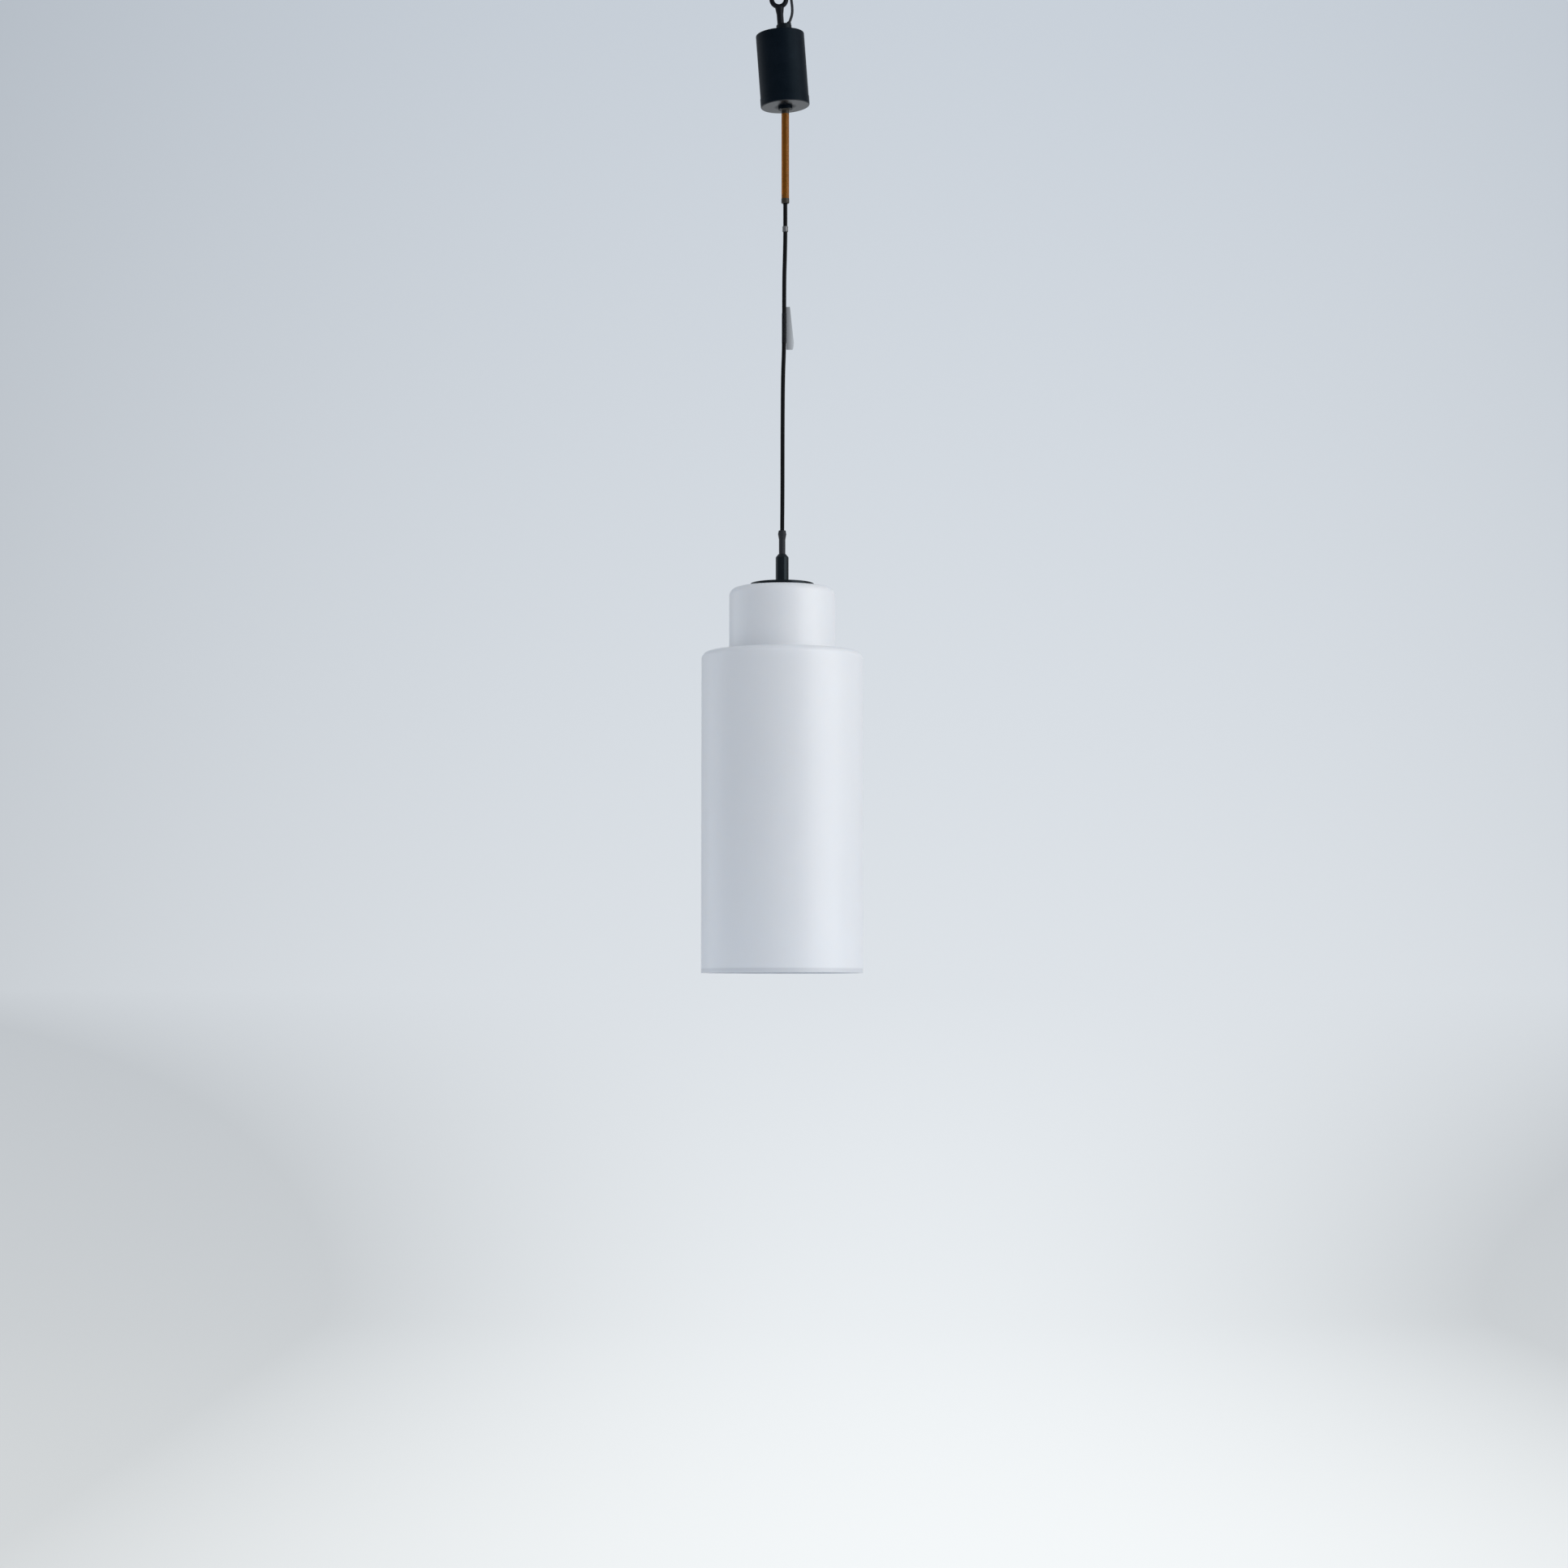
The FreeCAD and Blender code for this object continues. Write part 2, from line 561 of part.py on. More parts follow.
def ceiling_hook():
    """A bent steel rod: screwed into the strap, turned aside, then round the bend that carries the eye."""
    centre_z = -mm.pivot_drop + mm.hook_bend
    reach = mm.hook_turn + mm.hook_bend
    turn_z = centre_z + math.sqrt(reach**2 - mm.hook_turn**2)
    meet = math.atan2(turn_z - centre_z, mm.hook_turn)

    def on_bend(angle):
        return Vector(0, mm.hook_bend * math.cos(angle), centre_z + mm.hook_bend * math.sin(angle))

    turn_middle = Vector(0, mm.hook_turn, turn_z)
    half = math.pi + meet / 2
    turn_mid = turn_middle + Vector(0, math.cos(half), math.sin(half)) * mm.hook_turn
    point = math.radians(mm.hook_point - 360)
    start = Vector(0, 0, -mm.plate_thick / 2)
    turn_start = Vector(0, 0, turn_z)
    route = Part.Wire([
        Part.LineSegment(start, turn_start).toShape(),
        Part.Arc(turn_start, turn_mid, on_bend(meet)).toShape(),
        Part.Arc(on_bend(meet), on_bend((meet + point) / 2), on_bend(point)).toShape(),
    ])
    rod = Part.Wire(Part.Circle(start, Vector(0, 0, -1), mm.hook_wire).toShape())
    piece = doc.addObject("Part::Feature", "ceiling_hook")
    piece.Shape = route.makePipeShell([rod], True, False)
    return keep(piece, "ceiling_hook")


def hook_nut():
    """The nut that locks the hook's thread under the strap's tapped boss."""
    foot = "-plate_thick - tap_depth - hook_nut_height"
    body = nut("hook_nut", "hook_nut_flats", "hook_nut_height", "hook_wire + joint_gap", foot, CEILING)
    return keep(body, "hook_nut")


def canopy_cup():
    """The pressed cup that hides the connections, its base bored for the hook and the flex."""
    drop = "-canopy_depth"
    slope = "canopy_wall"
    corners = [
        ("0", drop), ("canopy_base", drop), ("canopy_rim", "0"), (f"canopy_rim - {slope}", "0"),
        (f"canopy_base - {slope}", f"{drop} + {slope}"), ("0", f"{drop} + {slope}"),
    ]
    body = lathe("canopy_cup", corners, CEILING)
    dress(body, "Fillet", [(mm.canopy_base, -mm.canopy_depth)], "canopy_round", "canopy_corner")
    inner = [(mm.canopy_base - mm.canopy_wall, -mm.canopy_depth + mm.canopy_wall)]
    dress(body, "Fillet", inner, "canopy_round - canopy_wall", "canopy_inner_corner")
    holes = new_sketch(body, "cup_holes", "XY_Plane", drop)
    draw_circle(holes, "0", "0", "hook_wire + rod_clear")
    draw_circle(holes, "port_offset", "0", "grommet_groove + joint_gap")
    pocket(body, holes, "canopy_depth / 2", upward=True)
    return keep(body, "canopy_cup")


def canopy_collar():
    """The collar that the canopy rests on, clamped on the hook's rod by a grub screw."""
    top, foot = "-canopy_depth", "-canopy_depth - collar_height"
    bore = "hook_wire + joint_gap"
    corners = [(bore, top), ("collar_radius", top), ("collar_radius", foot), (bore, foot)]
    body = lathe("canopy_collar", corners, CEILING)
    ends = [(mm.collar_radius, -mm.canopy_depth - mm.collar_height)]
    dress(body, "Chamfer", ends, "collar_bevel", "collar_edge")
    hole = new_sketch(body, "grub_hole", "XZ_Plane")
    draw_circle(hole, "0", "-canopy_depth - collar_height / 2", "collar_screw + joint_gap")
    pocket(body, hole, "collar_radius + 1")
    return keep(body, "canopy_collar")


def collar_screw():
    """The grub screw in the collar's side, tight on the hook's rod."""
    spot = ("0", "collar_radius - grub_sink", "-canopy_depth - collar_height / 2")
    turn = "vector(1; 0; 0); 90"
    length = "collar_radius - grub_sink - hook_wire - joint_gap"
    screw = cylinder("grub", "collar_screw", length, spot, turn)
    return keep(screw, "collar_screw")


def canopy_grommet():
    """The rubber grommet in the canopy's base: two lips and the groove that the sheet sits in."""
    middle = "grommet_height / 2"
    wall = "canopy_wall / 2"
    corners = [
        ("flex_radius + joint_gap", f"-{middle}"), ("grommet_lip", f"-{middle}"),
        ("grommet_lip", f"-{wall}"), ("grommet_groove", f"-{wall}"),
        ("grommet_groove", wall), ("grommet_lip", wall),
        ("grommet_lip", middle), ("flex_radius + joint_gap", middle),
    ]
    spot = ("port_offset", "0", "-canopy_depth + canopy_wall / 2")
    return keep(lathe("canopy_grommet", corners, spot), "canopy_grommet")


def terminal_block():
    """A three-way block under the strap: a way for each core, and a screw down into each."""
    spot = ("-block_offset", "0", "-plate_thick - block_height")
    body = new_body("terminal_block", spot)
    base = new_sketch(body, "block_base", "XY_Plane")
    half, side = "block_depth / 2", "block_width / 2"
    draw_outline(base, [
        (f"-{half}", f"-{side}"), (half, f"-{side}"), (half, side), (f"-{half}", side),
    ])
    pad(body, base, "block_height")
    ways = new_sketch(body, "ways", "YZ_Plane")
    screws = new_sketch(body, "screw_wells", "XY_Plane")
    for way in (-1, 0, 1):
        across = "0" if way == 0 else f"{way} * block_pitch"
        draw_circle(ways, across, "block_height / 2", "block_way")
        draw_circle(screws, "0", across, "block_screw + joint_gap")
    pocket(body, ways, "block_depth + 2", middle=True)
    pocket(body, screws, "block_height / 2", upward=True)
    return keep(body, "terminal_block")


def terminal_screws():
    """The three clamping screws, reached from below."""
    screws = []
    for way in (-1, 0, 1):
        spot = ("-block_offset", f"{way} * block_pitch", "-plate_thick - block_height + block_screw_sink")
        length = "block_height / 2 - block_way - block_screw_sink"
        screws.append(cylinder(f"terminal_screw_{way + 2}", "block_screw", length, spot))
    return keep(group("terminal_screws", screws), "terminal_screws")


def supply_cords():
    """The thin supply flex: its free stretch up to the grommet, and its tail to the terminal block."""
    lean = math.radians(mm.gland_lean)
    seat = tilted_point(mm.gland_offset, 0, mm.boss_height + mm.reel_height)
    start = seat + Vector(math.sin(lean), 0, math.cos(lean)) * mm.gland_height
    grommet_foot = -mm.canopy_depth + mm.canopy_wall / 2 - mm.grommet_height / 2
    entry = Vector(mm.port_offset, 0, grommet_foot)
    free = tube_along("supply_flex", [start, *SUPPLY_BENDS, entry], mm.flex_radius)
    block_face = -mm.block_offset + mm.block_depth / 2
    end = Vector(block_face, 0, -mm.plate_thick - mm.block_height / 2)
    tail = tube_along("supply_tail", [entry, *TAIL_BENDS, end], mm.flex_radius)
    return keep(free, "supply_flex"), keep(tail, "supply_tail")


# ---------------------------------------------------------------- reel


def hanger_eye():
    """The forged eye: a ring across the hook, a neck, and the threaded shank into the reel."""
    ring_height = "(eye_height + hook_wire + hang_gap - eye_hole)"
    ring = doc.addObject("Part::Torus", "eye_ring")
    ring.setExpression("Radius1", bound("eye_hole + eye_wire"))
    ring.setExpression("Radius2", bound("eye_wire"))
    put(ring, ("0", "0", ring_height), "vector(1; 0; 0); 90")
    outer = "(eye_hole + 2 * eye_wire)"
    neck_top = f"{ring_height} - {outer} + eye_wire / 2"
    shank_foot = f"({UNDER_NUT} - shank_end)"
    shank_length = f"{neck_top} - neck_height - {shank_foot}"
    shank = cylinder("eye_shank", "shank_radius", shank_length, ("0", "0", shank_foot))
    neck = doc.addObject("Part::Cone", "eye_neck")
    neck.setExpression("Radius1", bound("shank_radius"))
    neck.setExpression("Radius2", bound("neck_flare"))
    neck.setExpression("Height", bound("neck_height"))
    put(neck, ("0", "0", f"{neck_top} - neck_height"))
    eye = join("hanger_eye", [ring, shank, neck])
    put(eye, reel_spot("eye_offset", "0", "0"), TILTED)
    return keep(eye, "hanger_eye")


def hanger_nut():
    """The nut on the eye's shank inside the reel, which the bracket's roof rests on."""
    bore = "shank_radius + joint_gap"
    spot = reel_spot("eye_offset", "0", "0")
    piece = nut("hanger_nut", "shank_nut_flats", "shank_nut_height", bore, UNDER_NUT, spot, TILTED)
    return keep(piece, "hanger_nut")


def gland_seat():
    """Where the supply gland leans in the boss's top, as a spot and a turn."""
    return reel_spot("gland_offset", "0", "reel_height + boss_height"), "vector(0; 1; 0); gland_lean"


def top_boss():
    """The boss on the reel's roof, bored for the eye's shank and, leaning, for the supply gland."""
    body = new_body("boss_body", REEL, TILTED)
    outline = new_sketch(body, "boss_circle", "XY_Plane", "reel_height")
    draw_circle(outline, "boss_offset", "0", "boss_radius")
    pad(body, outline, "boss_height")
    dress(body, "Fillet", [(mm.boss_radius, mm.reel_height + mm.boss_height)], "boss_round", "boss_edge")
    bore = new_sketch(body, "shank_bore", "XY_Plane", "reel_height")
    draw_circle(bore, "eye_offset", "0", "shank_radius + joint_gap")
    pocket(body, bore, "boss_height + 1", upward=True)
    spot, turn = gland_seat()
    seat = cylinder("gland_seat", "gland_radius + joint_gap", "2 * gland_sink", spot, turn)
    lean_x = "sin(gland_lean * 1deg) * gland_sink"
    lean_z = "cos(gland_lean * 1deg) * gland_sink"
    x, y, z = spot
    put(seat, (f"{x} - {lean_x}", y, f"{z} - {lean_z}"), turn)
    return keep(cut("top_boss", body, seat), "top_boss")


def supply_gland():
    """The moulded relief where the supply flex leaves the boss."""
    spot, turn = gland_seat()
    bore = "flex_radius + joint_gap"
    corners = [
        (bore, "-gland_sink"), ("gland_radius", "-gland_sink"),
        ("gland_radius", "gland_height - gland_bevel"),
        ("gland_radius - gland_bevel", "gland_height"), (bore, "gland_height"),
    ]
    return keep(lathe("supply_gland", corners, spot, turn), "supply_gland")


def reel_shell():
    """The moulded case over the reel, open below, with its roof bored for the shank."""
    outer, inner = "reel_radius - seam_step", "reel_radius - reel_wall"
    corners = [
        ("0", "reel_height"), (outer, "reel_height"), (outer, "seam_height"), (inner, "seam_height"),
        (inner, "reel_height - reel_roof"), ("0", "reel_height - reel_roof"),
    ]
    body = lathe("reel_shell", corners, REEL, TILTED)
    dress(body, "Fillet", [(mm.reel_radius - mm.seam_step, mm.reel_height)], "reel_round", "shell_edge")
    bore = new_sketch(body, "roof_bore", "XY_Plane", "reel_height - reel_roof")
    draw_circle(bore, "eye_offset", "0", "shank_radius + joint_gap")
    pocket(body, bore, "reel_roof + 1", upward=True)
    return keep(body, "reel_shell")


def bottom_cover():
    """The cup that closes the case: a rim of the case's width and a spigot inside the shell."""
    lip_outer = "reel_radius - reel_wall - joint_gap"
    lip_inner = f"{lip_outer} - cover_lip_wall"
    lip_top = "seam_height + cover_lip"
    corners = [
        ("0", "0"), ("reel_radius", "0"), ("reel_radius", "seam_height"), (lip_outer, "seam_height"),
        (lip_outer, lip_top), (lip_inner, lip_top), (lip_inner, "cover_floor"), ("0", "cover_floor"),
    ]
    body = lathe("bottom_cover", corners, REEL, TILTED)
    dress(body, "Fillet", [(mm.reel_radius, 0)], "reel_round", "cover_edge")
    holes = new_sketch(body, "nozzle_hole", "XY_Plane")
    draw_circle(holes, "0", "0", "nozzle_radius + joint_gap")
    for side in ("-", ""):
        draw_circle(holes, "0", f"{side}cover_screw_offset", "cover_screw + joint_gap")
    pocket(body, holes, "cover_floor + 1", upward=True)
    wells = new_sketch(body, "head_wells", "XY_Plane")
    for side in ("-", ""):
        draw_circle(wells, "0", f"{side}cover_screw_offset", "cover_screw_head + joint_gap")
    pocket(body, wells, "cover_screw_sink", upward=True)
    return keep(body, "bottom_cover")


def cover_screws():
    """Two screws up through the cover into the bracket's feet."""
    screws = []
    for name, side in (("front", "-"), ("back", "")):
        head = cylinder(f"{name}_head", "cover_screw_head", "cover_screw_sink", CEILING)
        stem = cylinder(f"{name}_stem", "cover_screw", "cover_screw_length", CEILING)
        screw = join(f"{name}_cover_screw", [head, stem])
        put(screw, reel_spot("0", f"{side}cover_screw_offset", "0"), TILTED)
        screws.append(screw)
    return keep(group("cover_screws", screws), "cover_screws")


def reel_frame():
    """The bent steel bracket that carries the axle and takes the lamp's weight to the eye."""
    body = new_body("reel_frame", REEL, TILTED)
    outer, inner = "frame_span / 2", "frame_span / 2 - frame_sheet"
    top, foot = "reel_height - reel_roof", "cover_floor"
    inset = "nozzle_flange + foot_clear"
    half = [
        (outer, foot), (outer, top), (f"-{outer}", top), (f"-{outer}", foot), (f"-({inset})", foot),
        (f"-({inset})", f"{foot} + frame_sheet"), (f"-({inner})", f"{foot} + frame_sheet"),
        (f"-({inner})", f"{top} - frame_sheet"), (inner, f"{top} - frame_sheet"),
        (inner, f"{foot} + frame_sheet"), (inset, f"{foot} + frame_sheet"), (inset, foot),
    ]
    outline = new_sketch(body, "bracket_outline", "YZ_Plane")
    draw_outline(outline, half)
    pad(body, outline, "frame_width", middle=True)
    shank = new_sketch(body, "bracket_shank_hole", "XY_Plane", "reel_height")
    draw_circle(shank, "eye_offset", "0", "shank_radius + joint_gap")
    pocket(body, shank, "reel_roof + frame_sheet + 1")
    axle = new_sketch(body, "bracket_axle_holes", "XZ_Plane")
    draw_circle(axle, "0", "drum_height", "axle_radius + joint_gap")
    pocket(body, axle, "frame_span + 2", middle=True)
    feet = new_sketch(body, "bracket_foot_holes", "XY_Plane", foot)
    for side in ("-", ""):
        draw_circle(feet, "0", f"{side}cover_screw_offset", "cover_screw + joint_gap")
    pocket(body, feet, "frame_sheet + 1", upward=True)
    return keep(body, "reel_frame")


def nozzle():
    """The bush under the case, hollowed to a socket that the guide's ball hangs in."""
    base = ("0", "0", "-nozzle_drop")
    lip = cylinder("nozzle_lip", "nozzle_radius", "nozzle_drop + cover_floor", base)
    flange_spot = ("0", "0", "cover_floor")
    flange = cylinder("nozzle_rim", "nozzle_flange", "nozzle_flange_thick", flange_spot)
    barrel = cylinder("nozzle_barrel", "nozzle_barrel", "nozzle_top - cover_floor", flange_spot)
    outside = join("nozzle_outside", [lip, flange, barrel])
    socket = doc.addObject("Part::Sphere", "nozzle_socket")
    socket.setExpression("Radius", bound("ball_radius + ball_fit"))
    way_in = cylinder("nozzle_way_in", "ball_radius + ball_fit", "nozzle_top + 1", CEILING)
    inside = join("nozzle_inside", [socket, way_in])
    bush = cut("nozzle", outside, inside)
    put(bush, REEL, TILTED)
    return keep(bush, "nozzle")


def fairlead():
    """The bell-mouthed ring screwed on the nozzle, which keeps the ball in and turns the cord."""
    top = "nozzle_top + fairlead_height"
    corners = [
        ("fairlead_bore", "nozzle_top"), ("nozzle_barrel", "nozzle_top"), ("nozzle_barrel", top),
        ("fairlead_mouth", top), ("fairlead_bore", "nozzle_top + fairlead_height / 3"),
    ]
    return keep(lathe("fairlead", corners, REEL, TILTED), "fairlead")


def drum_axle():
    """The fixed axle across the bracket, which the drum turns on."""
    length = "frame_span + 2 * axle_end"
    body = new_body("drum_axle", DRUM, SIDEWAYS)
    circle = new_sketch(body, "axle_circle", "XY_Plane")
    draw_circle(circle, "0", "0", "axle_radius")
    pad(body, circle, length, middle=True)
    return keep(body, "drum_axle")


def axle_clips():
    """A clip on each end of the axle, against the bracket's cheeks."""
    clips = []
    bore = "axle_radius + joint_gap"
    for name, foot in (("front", "-frame_span / 2 - clip_thick"), ("back", "frame_span / 2")):
        corners = [(bore, foot), ("clip_radius", foot),
                   ("clip_radius", f"{foot} + clip_thick"), (bore, f"{foot} + clip_thick")]
        clips.append(lathe(f"{name}_clip", corners, DRUM, SIDEWAYS))
    return keep(group("axle_clips", clips), "axle_clips")


def spring_arbor():
    """The sleeve keyed on the axle, which holds the mainspring's inner end."""
    end = "drum_inside / 2 - bearing_length - arbor_gap"
    bore = "axle_radius + joint_gap"
    corners = [(bore, f"-({end})"), ("arbor_radius", f"-({end})"), ("arbor_radius", end), (bore, end)]
    return keep(lathe("spring_arbor", corners, DRUM, SIDEWAYS), "spring_arbor")


def cord_drum():
    """The drum: hub, two flanges, and the web on one side with its bearing."""
    side, bore = "drum_inside / 2", "axle_radius + axle_fit"
    face = f"{side} + flange_thick"
    corners = [
        (bore, f"-({face})"), ("flange_radius", f"-({face})"), ("flange_radius", f"-{side}"),
        ("hub_radius", f"-{side}"), ("hub_radius", side), ("flange_radius", side),
        ("flange_radius", face), ("hub_bore", face), ("hub_bore", f"-{side}"),
        ("bearing_radius", f"-{side}"), ("bearing_radius", f"-{side} + bearing_length"),
        (bore, f"-{side} + bearing_length"),
    ]
    return keep(lathe("cord_drum", corners, DRUM, SIDEWAYS), "cord_drum")


def drum_lid():
    """The lid of the spring chamber, with the drum's other bearing."""
    side, bore = "drum_inside / 2", "axle_radius + axle_fit"
    corners = [
        (bore, f"{side} + flange_thick"), ("hub_bore - joint_gap", f"{side} + flange_thick"),
        ("hub_bore - joint_gap", side), ("bearing_radius", side),
        ("bearing_radius", f"{side} - bearing_length"), (bore, f"{side} - bearing_length"),
    ]
    return keep(lathe("drum_lid", corners, DRUM, SIDEWAYS), "drum_lid")


def mainspring():
    """The flat coiled spring, drawn as half turns about two centres that lie one step apart."""
    halves = round(2 * mm.spring_turns)
    start = mm.arbor_radius + mm.joint_gap
    grow = (mm.hub_bore - mm.spring_strip - mm.joint_gap - start) / halves
    inner_edges, outer_edges = [], []
    for i in range(halves):
        side = 1 if i % 2 == 0 else -1
        centre = 0.0 if i % 2 == 0 else grow
        for edges, extra in ((inner_edges, 0.0), (outer_edges, mm.spring_strip)):
            reach = start + grow * i + extra
            first = Vector(centre + side * reach, 0, 0)
            over = Vector(centre, side * reach, 0)
            last = Vector(centre - side * reach, 0, 0)
            edges.append(Part.Arc(first, over, last))
    caps = [
        Part.LineSegment(inner_edges[0].StartPoint, outer_edges[0].StartPoint),
        Part.LineSegment(inner_edges[-1].EndPoint, outer_edges[-1].EndPoint),
    ]
    outline = [curve.toShape() for curve in [*inner_edges, *outer_edges, *caps]]
    width = mm.drum_inside - 2 * (mm.bearing_length + mm.arbor_gap)
    face = Part.Face(Part.Wire(Part.__sortEdges__(outline)))
    face.translate(Vector(0, 0, -width / 2))
    piece = doc.addObject("Part::Feature", "mainspring")
    piece.Shape = face.extrude(Vector(0, 0, width))
    put(piece, DRUM, SIDEWAYS)
    print(f"mainspring: gap between turns {2 * grow - mm.spring_strip:.2f}")
    return keep(piece, "mainspring")


def slip_rings():
    """Two flat copper rings on the drum's web, one for each pole."""
    foot = "-(drum_inside / 2 + flange_thick + ring_thick)"
    rings = []
    for name, bore in (("inner", "ring_inner"), ("outer", "ring_outer")):
        corners = [(bore, foot), (f"{bore} + ring_width", foot),
                   (f"{bore} + ring_width", f"{foot} + ring_thick"), (bore, f"{foot} + ring_thick")]
        rings.append(lathe(f"{name}_slip_ring", corners, DRUM, SIDEWAYS))
    return keep(group("slip_rings", rings), "slip_rings")


def brush_parts():
    """The holder on the bracket's front cheek and its two brushes, which rub on the slip rings."""
    cheek = "-(frame_span / 2 - frame_sheet)"
    face = "-(drum_inside / 2 + flange_thick + ring_thick)"
    holder = doc.addObject("Part::Box", "brush_holder")
    holder.setExpression("Length", bound("brush_width"))
    holder.setExpression("Width", bound("brush_plate"))
    holder.setExpression("Height", bound("ring_outer + ring_width - ring_inner + 2 * brush_margin"))
    low = "drum_height + ring_inner - brush_margin"
    put(holder, reel_spot("-brush_width / 2", cheek, low), TILTED)
    brushes = []
    for name, bore in (("inner", "ring_inner"), ("outer", "ring_outer")):
        brush = doc.addObject("Part::Box", f"{name}_brush")
        brush.setExpression("Length", bound("ring_width"))
        brush.setExpression("Width", bound(f"{face} - brush_gap - ({cheek}) - brush_plate"))
        brush.setExpression("Height", bound("ring_width"))
        spot = reel_spot("-ring_width / 2", f"{cheek} + brush_plate", f"drum_height + {bore}")
        put(brush, spot, TILTED)
        brushes.append(brush)
    return keep(holder, "brush_holder"), keep(group("brushes", brushes), "brushes")


def arc_from(start, heading, end):
    """The arc that leaves start along heading and ends at end."""
    chord = end - start
    along = Vector(chord).normalize()
    aside = heading - along * heading.dot(along)
    lean = heading.getAngle(along)
    middle = start + chord * 0.5 + aside.normalize() * (chord.Length / 2 * math.tan(lean / 2))
    return Part.Arc(start, middle, end)


def biarc(start, heading, end, arrival):
    """Two tangent arcs between two points with given directions."""
    chord = end - start
    both = heading + arrival
    turn = 2 * (1 - heading.dot(arrival))
    across = chord.dot(both)
    reach = (-across + math.sqrt(across**2 + turn * chord.dot(chord))) / turn
    meet = (start + end + (heading - arrival) * reach) * 0.5
    first = arc_from(start, heading, meet)
    back = arc_from(end, arrival * -1, meet)
    return first, Part.Arc(meet, back.value((back.FirstParameter + back.LastParameter) / 2), end)


def leaving_angle():
    """Where on the outer layer the cord leaves for the nozzle, as an angle about the drum."""
    below = mm.drum_height - mm.nozzle_top - mm.fairlead_height
    return -math.pi / 2 + math.acos(layer_radius() / below)


def layer_radius():
    """Centreline radius of the drum's outer layer, which lies on one inner layer."""
    return mm.hub_radius + 3 * mm.cord_radius + mm.joint_gap


def on_layer(turned):
    """The outer layer's centreline and direction, turned back from where the cord leaves."""
    angle = leaving_angle() + turned
    radius = layer_radius()
    first = -mm.drum_inside / 2 + mm.cord_radius + 2 * mm.joint_gap
    across = first + mm.wind_pitch * (mm.wind_turns - turned / (2 * math.pi))
    place = Vector(radius * math.cos(angle), across, mm.drum_height + radius * math.sin(angle))
    heading = Vector(radius * math.sin(angle), mm.wind_pitch / (2 * math.pi), -radius * math.cos(angle))
    return place, heading.normalize()


def wound_cord():
    """The cord on the drum: a plain inner layer, and an outer layer of real turns."""
    side = "(drum_inside / 2 - 2 * joint_gap)"
    inner, outer = "hub_radius", "hub_radius + 2 * cord_radius"
    corners = [(inner, f"-{side}"), (outer, f"-{side}"), (outer, side), (inner, side)]
    core = lathe("inner_layer", corners, DRUM, SIDEWAYS)
    halves = round(2 * mm.wind_turns)
    step = 2 * math.pi * mm.wind_turns / halves
    edges = []
    for i in range(halves, 0, -1):
        start, heading = on_layer(i * step)
        end, arrival = on_layer((i - 1) * step)
        edges += [curve.toShape() for curve in biarc(start, heading, end, arrival)]
    route = Part.Wire(edges)
    start, heading = on_layer(halves * step)
    section = Part.Wire(Part.Circle(start, heading, mm.cord_radius).toShape())
    shell = Part.BRepOffsetAPI.MakePipeShell(route)
    shell.add(section)
    shell.build()
    shell.makeSolid()
    turns = doc.addObject("Part::Feature", "outer_layer")
    turns.Shape = shell.shape()
    put(turns, REEL, TILTED)
    places = route.discretize(Number=720)
    turn = len(places) / mm.wind_turns
    least = min(
        (a - b).Length
        for i, a in enumerate(places)
        for b in places[i + int(0.6 * turn):i + int(1.4 * turn)]
    )
    print(f"outer layer: length {route.Length:.0f}, least gap {least - 2 * mm.cord_radius:.2f}")
    return keep(core, "cord_layer_inner"), keep(turns, "cord_layer_outer")


def feed_cord():
    """The cord between the drum and the nozzle, bent to plumb in the bell mouth."""
    leave, heading = on_layer(0)
    tilt = math.radians(mm.reel_tilt)
    low = mm.ball_radius + mm.swing_clear
    end = Vector(low * math.sin(tilt), 0, low * math.cos(tilt))
    bend = end * ((low + mm.throat_rise) / low)
    route = [leave, leave + heading * mm.feed_run, bend, end]
    piece = tube_along("feed_cord", route, mm.cord_radius)
    put(piece, REEL, TILTED)
    return keep(piece, "feed_cord")


# ---------------------------------------------------------------- guide


def guide_ball():
    """The ball that hangs in the nozzle's socket, with the neck that the tube is pushed into."""
    ball = doc.addObject("Part::Sphere", "guide_sphere")
    ball.setExpression("Radius", bound("ball_radius"))
    low = ("0", "0", "-guide_neck")
    neck = cylinder("guide_neck", "guide_radius", "guide_neck", low)
    bore = cylinder("ball_bore", "guide_bore", "guide_neck + ball_radius + 2", ("0", "0", "-guide_neck - 1"))
    seat = cylinder("ball_seat", "guide_spigot + joint_gap", "guide_overlap + joint_gap", low)
    solid = join("guide_solid", [ball, neck])
    hollow = join("guide_hollow", [bore, seat])
    piece = cut("guide_ball", solid, hollow)
    put(piece, GUIDE)
    return keep(piece, "guide_ball")


def guide_tube():
    """The amber tube that steadies the cord under the reel."""
    top, foot = "-guide_neck", "-guide_length + tip_length"
    corners = [
        ("guide_bore", f"{top} + guide_overlap"), ("guide_spigot", f"{top} + guide_overlap"),
        ("guide_spigot", top), ("guide_radius", top), ("guide_radius", foot),
        ("guide_spigot + joint_gap", foot), ("guide_spigot + joint_gap", f"{foot} + guide_overlap"),
        ("guide_bore", f"{foot} + guide_overlap"),
    ]
    return keep(lathe("guide_tube", corners, GUIDE), "guide_tube")


